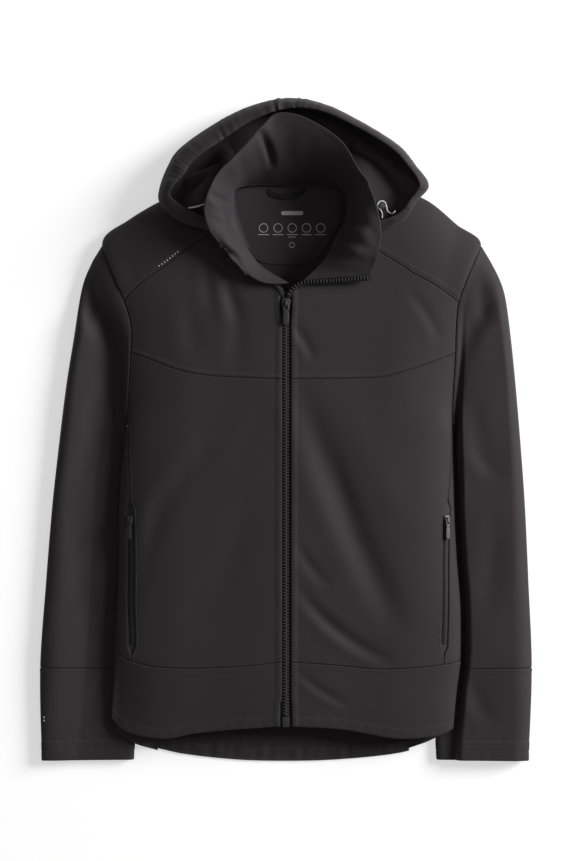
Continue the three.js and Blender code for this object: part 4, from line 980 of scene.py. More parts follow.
def spread(
    length: float, count: int, low: bool = True, high: bool = True, start: float = 0, end: float = 1
) -> Array:
    """Places from start to end over a piece, closer together near the edges that hold a seam.

    Args:
        length: Rough length of the piece that way, in millimetres.
        count: Number of even places between the two edges.
        low: Whether the first edge holds a seam.
        high: Whether the last edge holds one.
        start: First place.
        end: Last place.

    Returns:
        The places.
    """
    near = np.array(NEAR_ENDS) / length
    near = near[near < 0.4]
    first = near if low else near[:1]
    last = 1 - near[::-1] if high else np.array([1.0])
    places = np.concatenate([first, np.linspace(first[-1], last[0], count + 2)[1:-1], last])
    return start + (end - start) * places


@dataclass
class Panel:
    """One cut piece of cloth as a closed wall over a surface, with the form that its seams give it.

    Attributes:
        name: Name of the CAD node that it replaces.
        surface: Outer surface, from two parameters.
        us: Places of the first parameter.
        vs: Places of the second.
        out: 1 or -1, by which way the outer side faces.
        thickness: Thickness of the cloth.
        edges: How its edges are sewn.
        relief: Further form of both sides, from points and both parameters.
        seed: Shifts the small waves.
    """

    name: str
    surface: Surface
    us: Array
    vs: Array
    out: float
    thickness: float = CLOTH
    edges: dict[Rim, Edge] = field(default_factory=dict)
    relief: Reliefs | None = None
    seed: float = 0.0

    def __post_init__(self) -> None:
        """Works out the grids that the methods share."""
        u, v = np.meshgrid(self.us, self.vs)
        plain = self.surface(u, v)
        normal = self._normals(plain)
        if self.relief:
            plain = plain + normal * self.relief(plain, u, v)[..., None]
            plain[..., 2] = np.maximum(plain[..., 2], 0)
            normal = self._normals(plain)
        self.plain = plain
        self.plain_normal = normal
        gone_u = lengths(plain, 1)
        gone_v = lengths(plain, 0)
        self.away = {
            Rim.U_LOW: gone_u,
            Rim.U_HIGH: gone_u[:, -1:] - gone_u,
            Rim.V_LOW: gone_v,
            Rim.V_HIGH: gone_v[-1:, :] - gone_v,
        }
        height = np.zeros(u.shape)
        for number, (rim, edge) in enumerate(self.edges.items()):
            place = gone_v if rim in (Rim.U_LOW, Rim.U_HIGH) else gone_u
            height += edge.relief(self.away[rim], place, self.seed + number)
        self.outer = plain + normal * height[..., None]
        self.outer[..., 2] = np.maximum(self.outer[..., 2], 0)
        self.normal = self._normals(self.outer)
        inner = plain - normal * self.thickness
        for axis in (0, 1):
            for end, next_one in ((0, 1), (-1, -2)):
                edge_row = np.take(inner, end, axis)
                inward = unit(np.take(plain, next_one, axis) - np.take(plain, end, axis))
                index = (end,) if axis == 0 else (slice(None), end)
                inner[index] = edge_row + inward * BEVEL
        self.inner = inner
        self.uv = np.stack([gone_u, gone_v], axis=-1) * MM

    def _normals(self, grid: Array) -> Array:
        """Unit normals of a grid, towards the outer side."""
        return unit(np.cross(np.gradient(grid, axis=1), np.gradient(grid, axis=0))) * self.out

    def line(
        self, rim: Rim, distance: float, start: float = 0.0, end: float = 1.0, bare: bool = False
    ) -> tuple[Array, Array]:
        """A line on the outer side at a distance from an edge.

        Args:
            rim: The edge.
            distance: Distance from it in millimetres.
            start: Where the line begins, as a share of the edge.
            end: Where it ends.
            bare: Whether it lies on the surface without the form of the seams.

        Returns:
            Points and normals along the line.
        """
        grid, normal, away = self.outer, self.normal, self.away[rim]
        if bare:
            grid, normal = self.plain, self.plain_normal
        if rim in (Rim.U_LOW, Rim.U_HIGH):
            grid, normal, away = grid.transpose(1, 0, 2), normal.transpose(1, 0, 2), away.T
        if rim in (Rim.U_HIGH, Rim.V_HIGH):
            grid, normal, away = grid[::-1], normal[::-1], away[::-1]
        k = np.clip((away < distance).sum(0) - 1, 0, len(away) - 2)
        j = np.arange(away.shape[1])
        near, far = away[k, j], away[k + 1, j]
        t = np.clip((distance - near) / np.maximum(far - near, 1e-6), 0, 1)[:, None]
        points, normals = lerp(grid[k, j], grid[k + 1, j], t), unit(lerp(normal[k, j], normal[k + 1, j], t))
        gone = along(points)
        keep = (gone >= start * gone[-1]) & (gone <= end * gone[-1])
        return points[keep], normals[keep]

    def allowance(
        self,
        rim: Rim,
        inside: float = 4.0,
        beyond: float = 3.0,
        start: float = 0.0,
        end: float = 1.0,
        depth: float = 0.15,
        finish: Finish = TAPE_AND_SEAM_SHADE,
    ) -> bpy.types.Object:
        """Seam allowance behind an edge: a thin strip on the hidden side that reaches under the next piece.

        Args:
            rim: The edge.
            inside: How far the strip reaches under this piece.
            beyond: How far it reaches under the next one.
            start: Where it begins, as a share of the edge.
            end: Where it ends.
            depth: Distance of the strip from the cloth.
            finish: Its finish; the default dark tape paints shade into the gap of the seam.

        Returns:
            The piece.
        """
        lines = [self.line(rim, x, start, end, bare=True) for x in (0.0, inside / 2, inside)]
        count = min(len(points) for points, _ in lines)
        points = [at_lengths(p, np.linspace(0, along(p)[-1], count)) for p, _ in lines]
        normals = [n[np.linspace(0, len(n) - 1, count).round().astype(int)] for _, n in lines]
        ahead = unit(points[1] - points[0])
        top = [points[0] - ahead * beyond, points[0] - ahead * beyond / 2, *points]
        sheet_normals = [normals[0], normals[0], *normals]
        low = self.thickness + depth
        upper = np.stack([p - n * low for p, n in zip(top, sheet_normals)], axis=1)
        under = np.stack([p - n * (low + ALLOWANCE_THICK) for p, n in zip(top, sheet_normals)], axis=1)
        upper[..., 2] = np.maximum(upper[..., 2], FLOOR_CLEAR)
        under[..., 2] = np.maximum(under[..., 2], FLOOR_CLEAR)
        return closed_sheet(f"{self.name}_{rim.value}_allowance", upper, under, finish, False)

    def build(
        self,
        slot: str = "softshell",
        finish: Finish = SHELL,
        inside: Finish = FLEECE,
        held: str = "laid",
        rests_on: Sequence[str] = ("back_panel",),
    ) -> bpy.types.Object:
        """Args:
            slot: Not used.
            finish: Finish of the outer side and the cut edges.
            inside: Finish of the other side.
            held: Not used.
            rests_on: Not used.

        Returns:
            The object.
        """
        points = np.concatenate([self.outer.reshape(-1, 3), self.inner.reshape(-1, 3)])
        front, rim, back = closed_faces(*self.outer.shape[:2])
        faces = np.concatenate([front, rim, back])
        parts = np.zeros(len(faces))
        parts[len(front) + len(rim):] = 1
        uv = np.tile(self.uv.reshape(-1, 2), (2, 1))
        faces = outward(points, [faces])
        piece = add_mesh(f"{self.name}_cloth", points, faces, (finish, inside), uv=uv, parts=parts)
        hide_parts(self.name)
        return piece


@dataclass
class Stitching:
    """Rows of sewing: short round threads that dip into the cloth at both ends.

    Attributes:
        name: Name of the object.
        pitch: Distance from stitch to stitch.
        length: Length of the thread that shows.
        radius: Radius of the thread.
    """

    name: str
    pitch: float = 3.9
    length: float = 2.4
    radius: float = 0.34
    _points: list[Array] = field(default_factory=list)

    SIDES = 5
    RINGS = ((-0.5, 0.35, -0.9), (-0.4, 0.85, -0.1), (0.0, 1.0, 0.25), (0.4, 0.85, -0.1), (0.5, 0.35, -0.9))

    def row(self, points: Array, normals: Array) -> None:
        """Adds a row of stitches along a line on the cloth."""
        s = along(points)
        places = np.arange(self.pitch, s[-1] - self.pitch, self.pitch)
        if len(places) < 2:
            return
        a, b = (at_lengths(points, places + k * self.length / 2) for k in (-1, 1))
        normal = unit(np.stack([np.interp(places, s, normals[:, k]) for k in range(3)], axis=-1))
        ahead = unit(b - a)
        across = unit(np.cross(normal, ahead))
        axes = np.stack([ahead, across, np.cross(ahead, across)], axis=1)
        self._points.append(instances(self._template(), (a + b) / 2 + normal * 0.12, axes))

    def _template(self) -> Array:
        """Rings of one stitch: place along it, share of the radius and height in radii."""
        turn = 2 * math.pi * np.arange(self.SIDES) / self.SIDES
        return np.concatenate([
            stack(
                x * self.length,
                share * self.radius * np.cos(turn),
                self.radius * (z + share * np.sin(turn)),
            )
            for x, share, z in self.RINGS
        ])

    def build(self, finish: Finish = THREAD) -> bpy.types.Object:
        """Makes all rows as one piece."""
        points = np.concatenate(self._points)
        size = self.SIDES * len(self.RINGS)
        faces = copies(turned_faces(len(self.RINGS), self.SIDES), size, len(points) // size)
        return add_mesh(self.name, points, faces, (finish,), sharp=80)


# Cloth pieces


def between(side: Side, low: Table, high: Table) -> Surface:
    """Body surface between two seams that cross it."""

    def surface(q: Array, v: Array) -> Array:
        """Points of the surface at places across and along it."""
        foot, head = low(side.label, q) + SEAM, high(side.label, q) - SEAM
        return body_point(side, q, lerp(foot, head, v))

    return surface


@dataclass
class BodyPieces:
    """Chest, front, side panel and hem band of one side.

    Attributes:
        side: Wearer's side.
        hem_row: Distance of the hem's stitches from its edge.
        front_row: Distance of the stitches beside the zip from the front's edge.
        pocket_foot_q: Place where the pocket's seam meets the hem band's.
    """

    side: Side
    hem_row: float = 12.6
    front_row: float = 6.4
    pocket_foot_q: float = 0.85

    def build(self, sewing: Stitching) -> None:
        """Makes the four pieces and their rows of stitches."""
        side, name, out = self.side, self.side.label, self.side.sign
        beside_zip = Edge(roll=1.0, reach=2.2, ridge=0.7, width=7.4, rows=(self.front_row,), pucker=0.2)
        pocket = Edge(roll=0.7, reach=1.6, ridge=0.2, width=3.6, rows=(2.6,))
        chest = Panel(
            f"chest_{name}",
            between(side, CHEST_SEAM, CHEST_TOP),
            spread(205, 70) * LAST_Q,
            spread(110, 34),
            out,
            edges={Rim.U_LOW: beside_zip, Rim.U_HIGH: TURNED, Rim.V_LOW: STITCHED, Rim.V_HIGH: TURNED},
            seed=1.0 + out,
        )
        seam_y = HEM_SEAM(name, self.pocket_foot_q)
        foot_q = float(side_seam_q(side, seam_y, SEAM))
        start_q = float(side_seam_q(side, seam_y, -SEAM))

        def front_surface(u: Array, v: Array) -> Array:
            """Front from the hem band's seam to the chest seam, up to the pocket's seam and the armpit."""
            foot = HEM_SEAM(name, u * foot_q) + SEAM
            head = CHEST_SEAM(name, u * LAST_Q) - SEAM
            share = np.clip((v - FLANK_SHARE) / (1 - FLANK_SHARE), 0, 1)
            start = side_seam_q(side, np.float64(FLANK_TOP_Y), pocket_half(FLANK_TOP_Y))
            end_q = lerp(start, LAST_Q, np.minimum(share / FLANK_STEP, 1))
            y_low = lerp(foot, FLANK_TOP_Y, np.clip(v / FLANK_SHARE, 0, 1))
            q_low = side_seam_q(side, y_low, pocket_half(y_low))
            high = v > FLANK_SHARE
            y = np.where(high, lerp(FLANK_TOP_Y, head, share), y_low)
            return body_point(side, u * np.where(high, end_q, q_low), y)

        armpit_rows = FLANK_SHARE + np.array([0, FLANK_STEP]) * (1 - FLANK_SHARE)
        front = Panel(
            f"front_{name}",
            front_surface,
            spread(205, 84),
            np.union1d(spread(370, 120), armpit_rows),
            out,
            edges={Rim.U_LOW: beside_zip, Rim.U_HIGH: pocket, Rim.V_LOW: TURNED, Rim.V_HIGH: TURNED},
            seed=2.0 + out,
        )

        def flank_surface(u: Array, v: Array) -> Array:
            """Side panel from the pocket's seam round the turn to the back panel."""
            foot = HEM_SEAM(name, lerp(start_q, 2, u)) + SEAM
            y = lerp(foot, FLANK_TOP_Y - 2 * GAP, v)
            return body_point(side, lerp(side_seam_q(side, y, -pocket_half(y)), 2, u), y)

        flank = Panel(
            f"side_{name}",
            flank_surface,
            spread(105, 34),
            spread(296, 80),
            out,
            edges={Rim.U_LOW: pocket, Rim.V_LOW: TURNED, Rim.V_HIGH: TURNED},
            seed=3.0 + out,
        )
        hem = Edge(roll=1.0, reach=2.6, ridge=0.3, width=13.2, rows=(self.hem_row,), pucker=0.22)
        band = Panel(
            f"hem_band_{name}",
            between(side, FRONT_HEM, HEM_SEAM),
            np.concatenate([spread(215, 80, high=False), 1 + spread(80, 22, low=False, high=False)[1:]]),
            spread(84, 20),
            out,
            edges={Rim.U_LOW: beside_zip, Rim.V_HIGH: STITCHED, Rim.V_LOW: hem},
            seed=4.0 + out,
        )
        for piece in (chest, front, flank, band):
            piece.build()
        for piece, rim in ((chest, Rim.V_LOW), (chest, Rim.V_HIGH), (chest, Rim.U_HIGH), (band, Rim.V_HIGH)):
            piece.allowance(rim)
        flank.allowance(Rim.V_HIGH, 4, 11, depth=-0.9)
        front.allowance(Rim.U_HIGH, 4, 9, start=0.74)
        front.allowance(Rim.U_HIGH, end=0.12)
        for piece, share in ((chest, 0.86), (front, 1.0), (band, 1.0)):
            sewing.row(*piece.line(Rim.U_LOW, self.front_row, end=share))
        sewing.row(*chest.line(Rim.V_LOW, STITCHED.rows[0]))
        sewing.row(*band.line(Rim.V_HIGH, STITCHED.rows[0], end=0.86))
        sewing.row(*band.line(Rim.V_LOW, self.hem_row, end=0.86))
        sewing.row(*front.line(Rim.U_HIGH, pocket.rows[0], end=0.78))
        sewing.row(*flank.line(Rim.U_LOW, pocket.rows[0], end=0.98))


@dataclass
class YokePiece:
    """Shoulder yoke of one side.

    Attributes:
        side: Wearer's side.
        dash_away: Distance of the row of dashes from the yoke's seam.
        dash_span: Where the row starts and ends, as shares of the seam.
    """

    side: Side
    dash_away: float = 4.6
    dash_span: tuple[float, float] = (0.46, 0.7)

    def build(self, sewing: Stitching, marks: Stitching) -> None:
        """Makes the yoke with its two rows of stitches and, on the right, a row of plain dashes."""
        side, name = self.side, self.side.label
        yoke = Panel(
            f"yoke_{name}",
            lambda u, v: yoke_point(side, u, v),
            spread(185, 60),
            spread(75, 40, high=False, end=YOKE_END),
            side.sign,
            edges={Rim.U_LOW: TURNED, Rim.U_HIGH: TURNED, Rim.V_LOW: TWICE},
            seed=6.0 + side.sign,
        )
        yoke.build()
        yoke.allowance(Rim.U_HIGH, end=0.9)
        yoke.allowance(Rim.V_HIGH, 4, 12)
        yoke.allowance(Rim.U_LOW, 4, 10, start=0.55)
        for row in TWICE.rows:
            sewing.row(*yoke.line(Rim.V_LOW, row))
        if side is Side.RIGHT:
            marks.row(*yoke.line(Rim.V_LOW, self.dash_away, *self.dash_span))


@dataclass
class SleevePieces:
    """Sleeve and cuff of one side, each an upper piece with both folds and a flat under piece.

    Attributes:
        side: Wearer's side.
        cuff_rows: Distances of the cuff's rows of stitches from its end.
        row_span: Where they start and end, as shares of the way round the upper piece.
        seam_half: Half the gap between sleeve and cuff, as a share of the sleeve's length.
        bar_c: Place of the right cuff's two plain bars round the sleeve.
        bar_v: Places along the sleeve where they start and end.
        bar_normal: Direction in which they face.
    """

    side: Side
    cuff_rows: tuple[float, ...] = (12.0, 24.5)
    row_span: tuple[float, float] = (0.12, 0.88)
    seam_half: float = 0.0002
    bar_c: float = 0.125
    bar_v: tuple[float, float] = (0.929, 0.948)
    bar_normal: tuple[float, float, float] = (-0.5, 0.0, 0.86)

    def build(self, sewing: Stitching, marks: Stitching) -> None:
        """Makes the four pieces with their stitches and, on the right, the two plain bars."""
        side, name, out = self.side, self.side.label, self.side.sign
        cs = np.linspace(-SLEEVE_TURN, 1 + SLEEVE_TURN, 110)
        arm_v = spread(460, 150, end=CUFF_SEAM_V - self.seam_half)
        cuff_v = spread(118, 50, start=CUFF_SEAM_V + self.seam_half)
        cuff_end = Edge(roll=1.0, reach=2.4, ridge=0.35, width=25.5, rows=self.cuff_rows, pucker=0.2)

        def upper(c: Array, v: Array) -> Array:
            """Upper sleeve of this side."""
            return sleeve_point(side, c, v)

        def under(c: Array, v: Array) -> Array:
            """Flat under piece, inside the turns of the upper one."""
            rows = SLEEVE[side]
            width = np.hypot(rows("outX", v) - rows("inX", v), rows("outY", v) - rows("inY", v))
            inset = (SLEEVE_UNDER + GAP) / width
            x, y = sleeve_plan(side, lerp(inset, 1 - inset, c), v)
            return stack(side.sign * x, y, 0)

        both = {Rim.V_LOW: TURNED, Rim.V_HIGH: TURNED}
        sleeve = Panel(f"sleeve_{name}_upper", upper, cs, arm_v, out, edges=both, seed=8.0 + out)
        ends = {Rim.V_LOW: STITCHED, Rim.V_HIGH: cuff_end}
        cuff = Panel(f"cuff_{name}_upper", upper, cs, cuff_v, out, edges=ends, seed=10.0 + out)
        flat = np.linspace(0, 1, 16)
        rear = [
            Panel(f"sleeve_{name}_under", under, flat, np.linspace(arm_v[0], arm_v[-1], 60), -out),
            Panel(f"cuff_{name}_under", under, flat, np.linspace(cuff_v[0], cuff_v[-1], 20), -out),
        ]
        for piece in (sleeve, cuff, *rear):
            piece.build(rests_on=() if piece in rear else (f"sleeve_{name}_under",))
        cuff.allowance(Rim.V_LOW)
        sleeve.allowance(Rim.V_LOW, 4, 8)
        if side is Side.RIGHT:
            places = np.linspace(*self.bar_v, 9)
            bar = sleeve_point(side, np.full(len(places), self.bar_c), places)
            marks.row(bar, np.tile(unit(np.array(self.bar_normal)), (len(places), 1)))
        sewing.row(*cuff.line(Rim.V_LOW, STITCHED.rows[0], *self.row_span))
        for row in self.cuff_rows:
            sewing.row(*cuff.line(Rim.V_HIGH, row, *self.row_span))


@dataclass
class BackPieces:
    """Back panel and the tail of the hem band, whose inside shows under the front hem.

    Attributes:
        tail_row: Distance of the tail's stitches from its edge.
        arm_drop: How far below the shoulder's tip the back's edge stops widening.
        tail_length: Length of the tail's piece.
        tail_columns: Number of places across the tail.
        row_column: The one of them at which the row of stitches has its distance.
        tail_gather: Height of the tail's gathers.
        tail_roll: Depth of its rolled edge.
        gather_end: Distances from the middle between which the gathers end.
    """

    tail_row: float = 12.0
    arm_drop: float = 38.0
    tail_length: float = 120.0
    tail_columns: int = 200
    row_column: int = 110
    tail_gather: float = 1.3
    tail_roll: float = 1.1
    gather_end: tuple[float, float] = (150, 172)

    def build(self, sewing: Stitching) -> None:
        """Makes both pieces."""
        foot = float(HEM_SEAM("left", 2))
        arm_y = SHOULDER_TIP_Y - self.arm_drop

        def by_side(s: Array, value: Callable[[Side], Array]) -> Array:
            """Value of each place's own side."""
            return np.where(s >= 0, value(Side.LEFT), value(Side.RIGHT))

        def surface(s: Array, v: Array) -> Array:
            """Level back panel from the hem band's seam to the neck and shoulders."""
            reach = by_side(s, lambda side: back_edge_x(side, np.float64(arm_y)))
            head = by_side(s, lambda side: back_head_y(side, reach * np.abs(s)))
            low = lerp(foot + SEAM, FLANK_TOP_Y, v / FLANK_SHARE)
            high = lerp(FLANK_TOP_Y, head, (v - FLANK_SHARE) / (1 - FLANK_SHARE))
            y = np.where(v <= FLANK_SHARE, low, high)
            return stack(s * by_side(s, lambda side: back_edge_x(side, np.minimum(y, arm_y))), y, 0)

        def tail_surface(s: Array, v: Array) -> Array:
            """Level tail from its curved lower edge to the seam."""
            reach = s * by_side(s, lambda side: back_edge_x(side, np.float64(TAIL.rows[0][1])))
            y = lerp(TAIL("y", reach), foot - SEAM, v)
            return stack(s * by_side(s, lambda side: back_edge_x(side, y)), y, 0)

        low_rows, high_rows = np.linspace(0, FLANK_SHARE, 40), np.linspace(FLANK_SHARE + 0.004, 1, 44)
        rows = np.concatenate([low_rows, [FLANK_SHARE + 0.0008], high_rows])
        back = Panel("back_panel", surface, np.linspace(-1, 1, 76), rows, -1.0)
        back.build(rests_on=())
        back.allowance(Rim.V_HIGH, 4, 10, start=0.62)
        back.allowance(Rim.V_HIGH, 4, 10, end=0.38)

        def gathers(points: Array, s: Array, v: Array) -> Array:
            """Soft gathers over the tail's hem, as uneven waves under two bells, and its rolled edge."""
            away = v * self.tail_length
            lift = 0.5 + 0.5 * uneven(points[..., 0], away * 0.25, 15, 3.3)
            inside = 1 - smooth(*self.gather_end, np.abs(points[..., 0]))
            hem = bell(away - 9, 8) + 0.3 * bell(away - 24, 14)
            return -self.tail_gather * lift * hem * inside - self.tail_roll * bell(away, 2.4)

        across = np.linspace(-1, 1, self.tail_columns)
        tail = Panel(
            "hem_band_back", tail_surface, across, spread(122, 30, high=False), -1.0,
            relief=gathers, seed=13.0,
        )
        tail.build(inside=SHELL, rests_on=())
        for rim in (Rim.U_LOW, Rim.U_HIGH):
            tail.allowance(rim, 6, 8, depth=-0.4, finish=SHELL)
        points = lerp(tail.inner[:-1], tail.inner[1:], 0.5)
        k = int(np.argmin(np.abs(tail.away[Rim.V_LOW][:, self.row_column] - self.tail_row)))
        sewing.row(points[k] + np.array([0, 0, 0.1]), -tail.normal[k])


COLLAR_FOLDS = (
    Fold(-33, 376, -17, 328, 7.5, 4.6, -3, 0.12),
    Fold(-56, 352, -50, 312, 1.6, 7, 2),
    Fold(2, 384, 8, 322, 1.8, 12, 2),
    Fold(30, 372, 22, 318, 1.6, 14, -3),
    Fold(76, 300, 104, 318, 2.2, 8, 3),
    Fold(70, 262, 112, 246, 2.6, 7, -4),
    Fold(66, 250, 110, 222, 2.0, 6, 3),
    Fold(46, 222, 110, 212, 1.2, 6, 2),
    Fold(-96, 268, -62, 250, 1.4, 6, 3),
    Fold(-96, 296, -66, 283, 2.4, 5, 2),
    Fold(-70, 272, -63, 240, 2.0, 5, 1),
    Fold(-86, 238, -62, 216, 2.6, 4.5, 3),
    Fold(-78, 225, -56, 209, 2.2, 4, -2),
)


@dataclass
class CollarPiece:
    """Stand collar, open like a funnel.

    Attributes:
        edge_row: Distance of the stitches from its top edge.
        seam_row: Distance of those at the back neck from its seam.
        slack: Height of its unevenness.
    """

    edge_row: float = 4.2
    seam_row: float = 2.6
    slack: float = 0.5

    def build(self, sewing: Stitching) -> None:
        """Makes the collar with its stitched top edge."""

        def relief(points: Array, a: Array, w: Array) -> Array:
            """Folds, which fade at the neck seam, and a soft unevenness."""
            x, y = points[..., 0], points[..., 1]
            wave = self.slack * uneven(a * 700, w * 60, 55, 2.4)
            return -folded(COLLAR_FOLDS, x, y) * smooth(0, 0.1, w) + wave

        top = Edge(roll=1.1, reach=2.2, ridge=0.3, width=5.0, rows=(self.edge_row,), pucker=0.16)
        collar = Panel(
            "collar",
            collar_point,
            spread(700, 205),
            spread(46, 32),
            -1.0,
            TWO_PLY,
            edges={Rim.V_HIGH: top, Rim.V_LOW: TURNED, Rim.U_LOW: TURNED, Rim.U_HIGH: TURNED},
            relief=relief,
            seed=15.0,
        )
        collar.build(inside=SHELL)
        collar.allowance(Rim.V_LOW, 5, 10, 0.25, 0.84)
        sewing.row(*collar.line(Rim.V_LOW, self.seam_row, 0.3, 0.72))
        sewing.row(*collar.line(Rim.V_HIGH, self.edge_row))


HOOD_FOLDS = (
    Fold(-134, 262, -70, 352, 15, 10, 9, 0.2),
    Fold(-128, 306, -84, 320, 8, 6, -3, 0.2),
    Fold(-96, 258, -104, 300, 6, 8, 2, 0.2),
    Fold(40, 396, 130, 292, 15, 24, 4, 0.0),
    Fold(10, 404, 60, 384, 3, 6, 2, 0.2),
)
# Where the brim's channel is bunched most: place round the hood, half width, strength
BUNCHES = ((0.53, 0.05, 2.6), (0.65, 0.03, 1.2), (0.77, 0.07, 0.9), (0.3, 0.05, 0.8))


@dataclass
class HoodPieces:
    """Three-panel hood, folded back behind the collar, and the brim with the cord's channel.

    Attributes:
        seam_half: Half the gap at a seam, as a share of the way round.
        outline: Length of the outline.
        channel_row: Distance of the channel's stitches from its edge.
        slack: Height of the unevenness inside.
        gather: Strength of the gathers round the channel.
    """

    seam_half: float = 0.0002
    outline: float = 620.0
    channel_row: float = 3.6
    slack: float = 1.2
    gather: float = 1.5

    def build(self, sewing: Stitching) -> None:
        """Makes the three panels and the brim."""
        gap = self.seam_half
        first, second = HOOD_SEAMS

        def relief(points: Array, a: Array, t: Array) -> Array:
            """Folds and unevenness that lift the inside of the hood, away from its rim and root."""
            x, y = points[..., 0], points[..., 1]
            under = smooth(0.0, 0.3, -t) * (1 - smooth(0.8, 1, -t))
            lift = np.maximum(folded(HOOD_FOLDS, x, y), 0) + self.slack * (0.6 + uneven(x, y, 44, 4.2))
            return -np.maximum(lift, 0) * under

        def gathers(points: Array, a: Array, t: Array) -> Array:
            """Gathers of the channel: fine and slack waves all round, and bunched ones at a few places."""
            ring = a * self.outline
            fine = uneven(ring, t * 6, 9, 6.6) * 0.3 * smooth(0.0, 0.4, t)
            slack = uneven(ring, t * 20, 34, 1.1) * 0.8 * smooth(0.1, 0.7, t)
            bunched = uneven(ring * 1.0, t * 3, 5.5, 3.3) * 0.55 * smooth(0.0, 0.3, t)
            places = sum(strength * bell(a - place, half) for place, half, strength in BUNCHES)
            return fine + slack + self.gather * bunched * places

        ts = np.concatenate([np.linspace(-1, -0.34, 36), np.linspace(-0.32, HOOD_BRIM_T - 0.01, 34)])
        panels = (
            ("hood_side_left", 0, first - gap, 250, (Rim.U_HIGH,)),
            ("hood_centre", first + gap, second - gap, 160, (Rim.U_LOW,)),
            ("hood_side_right", second + gap, 1, 240, (Rim.U_LOW, Rim.U_HIGH)),
        )
        seam = Edge(roll=0.8, ridge=0.3, width=6)
        for name, start, end, length, straps in panels:
            places = spread(length, int(length * 0.32), start=start, end=end)
            edges = {Rim.U_LOW: seam, Rim.U_HIGH: seam}
            panel = Panel(name, hood_point, places, ts, 1.0, edges=edges, relief=relief, seed=17.0)
            panel.build(held="folded")
            for rim in straps:
                panel.allowance(rim, 5, 5, depth=0.1, finish=SHELL)
        channel = Edge(roll=0.9, ridge=0.3, width=5, rows=(self.channel_row,))
        top = Edge(roll=1.1, reach=2.2, ridge=0.25, width=12)
        brim = Panel(
            "hood_brim",
            hood_point,
            spread(self.outline, 240),
            spread(24, 16, start=HOOD_BRIM_T + 0.005),
            1.0,
            TWO_PLY,
            edges={Rim.V_LOW: channel, Rim.V_HIGH: top},
            relief=gathers,
            seed=18.0,
        )
        brim.build(held="folded", inside=SHELL)
        sewing.row(*brim.line(Rim.V_LOW, self.channel_row))


# Zips


@dataclass(frozen=True)
class ZipSize:
    """Sizes of one kind of zip: half widths of tape and teeth, pitch of one side, height of a tooth."""

    tape: float
    half: float
    pitch: float
    height: float


FRONT_ZIP = ZipSize(6.9, 3.6, 3.9, 2.4)
POCKET_ZIP = ZipSize(4.2, 2.6, 1.9, 0.9)
TAPE_DROP = 1.0  # how far the tape lies under the frames of its zip, so that the cloth covers its edges
ZIP_FOOT_Y, ZIP_TOP_Y = -359.0, 150.0
TAPE_SINK = 0.8  # how far the frames lie under the cloth's surface
TAPE_THICK = 1.0
OPEN_ZIP = {
    Side.LEFT: ((3.4, 166.4, 46.2), (6, 173, 47.2), (14, 180.2, 48.2), (24, 184.2, 49), (50, 185.8, 50.4),
                (78, 187.6, 51.9), (107, 189.4, 53)),
    Side.RIGHT: ((-3.4, 166.4, 46), (-5, 174.5, 46.6), (-15, 184, 46.3), (-33, 191, 47.2), (-50, 199, 49.6),
                 (-63, 208, 52.5), (-74, 216, 55)),
}
TOOTH = ((-1.0, -0.42), (-0.25, -0.5), (0.22, -0.4), (0.36, 0.0), (0.22, 0.4), (-0.25, 0.5), (-1.0, 0.42))
TOOTH_FILL = 0.36  # length of a tooth along the zip, as a share of the pitch
TOOTH_ROOT = -0.35  # place across it, in half widths, towards which it narrows at the top


@dataclass
class Run:
    """Frames along a zip: places, with the directions across it, along it and away from the cloth."""

    origin: Array
    across: Array
    ahead: Array
    normal: Array

    @classmethod
    def of(cls, origin: Array, across: Array) -> "Run":
        """Frames from a line of places and a rough direction across it."""
        ahead = unit(np.gradient(origin, axis=0))
        normal = unit(np.cross(across, ahead))
        return cls(origin, np.cross(ahead, normal), ahead, normal)

    @classmethod
    def level(cls, points: Sequence[Sequence[float]], count: int) -> "Run":
        """Frames along a smooth curve through points, level across it."""
        line = rounded(points, count)
        ahead = np.gradient(line, axis=0)
        return cls.of(line, unit(stack(ahead[:, 1], -ahead[:, 0], 0 * ahead[:, 0])))

    def at(self, places: Array) -> "Run":
        """The frames at lengths along the line."""
        s = along(self.origin)
        mixed = [np.stack([np.interp(places, s, f[:, k]) for k in range(3)], axis=-1)
                 for f in (self.origin, self.across, self.ahead, self.normal)]
        return Run(mixed[0], unit(mixed[1]), unit(mixed[2]), unit(mixed[3]))

    def place(self, x: float, y: float, z: float) -> Array:
        """Points at local coordinates of every frame."""
        return self.origin + self.across * x + self.ahead * y + self.normal * z

    def moved(self, x: float, z: float) -> "Run":
        """The same frames, moved across and away from the cloth."""
        return Run(self.place(x, 0, z), self.across, self.ahead, self.normal)


def teeth(
    name: str, run: Run, size: ZipSize, hands: Sequence[float], closed: bool = True, finish: Finish = TEETH
) -> bpy.types.Object:
    """Teeth along a zip: seven-cornered blocks with a chamfered top, whose noses meet in the middle.

    Args:
        name: Name of the piece.
        run: Frames along the zip.
        size: Sizes of the zip.
        hands: 1 for teeth whose root is at positive x, -1 for the other side.
        closed: Whether the noses reach over the middle.
        finish: Finish of the teeth.

    Returns:
        The piece.
    """
    outline = np.array(TOOTH) * [size.half, size.pitch * TOOTH_FILL]
    rings = [(1.0, -TAPE_DROP), (1.0, 0.6 * size.height), (0.72, size.height)]
    middle = TOOTH_ROOT * size.half
    template = np.concatenate([
        stack(middle + (outline[:, 0] - middle) * share, outline[:, 1] * share, z) for share, z in rings
    ])
    points = []
    total = along(run.origin)[-1]
    for hand in hands:
        places = np.arange(size.pitch * (0.5 if hand > 0 else 1.0), total - size.pitch * 0.4, size.pitch)
        here = run.at(places)
        axes = np.stack([here.across * -hand, here.ahead * -hand, here.normal], axis=1)
        shift = 0.0 if closed else hand * 0.3 * size.half
        points.append(instances(template, here.place(shift, 0, 0), axes))
    points = np.concatenate(points)
    faces = copies(turned_faces(len(rings), len(TOOTH)), len(template), len(points) // len(template))
    return add_mesh(name, points, faces, (finish,), sharp=30)


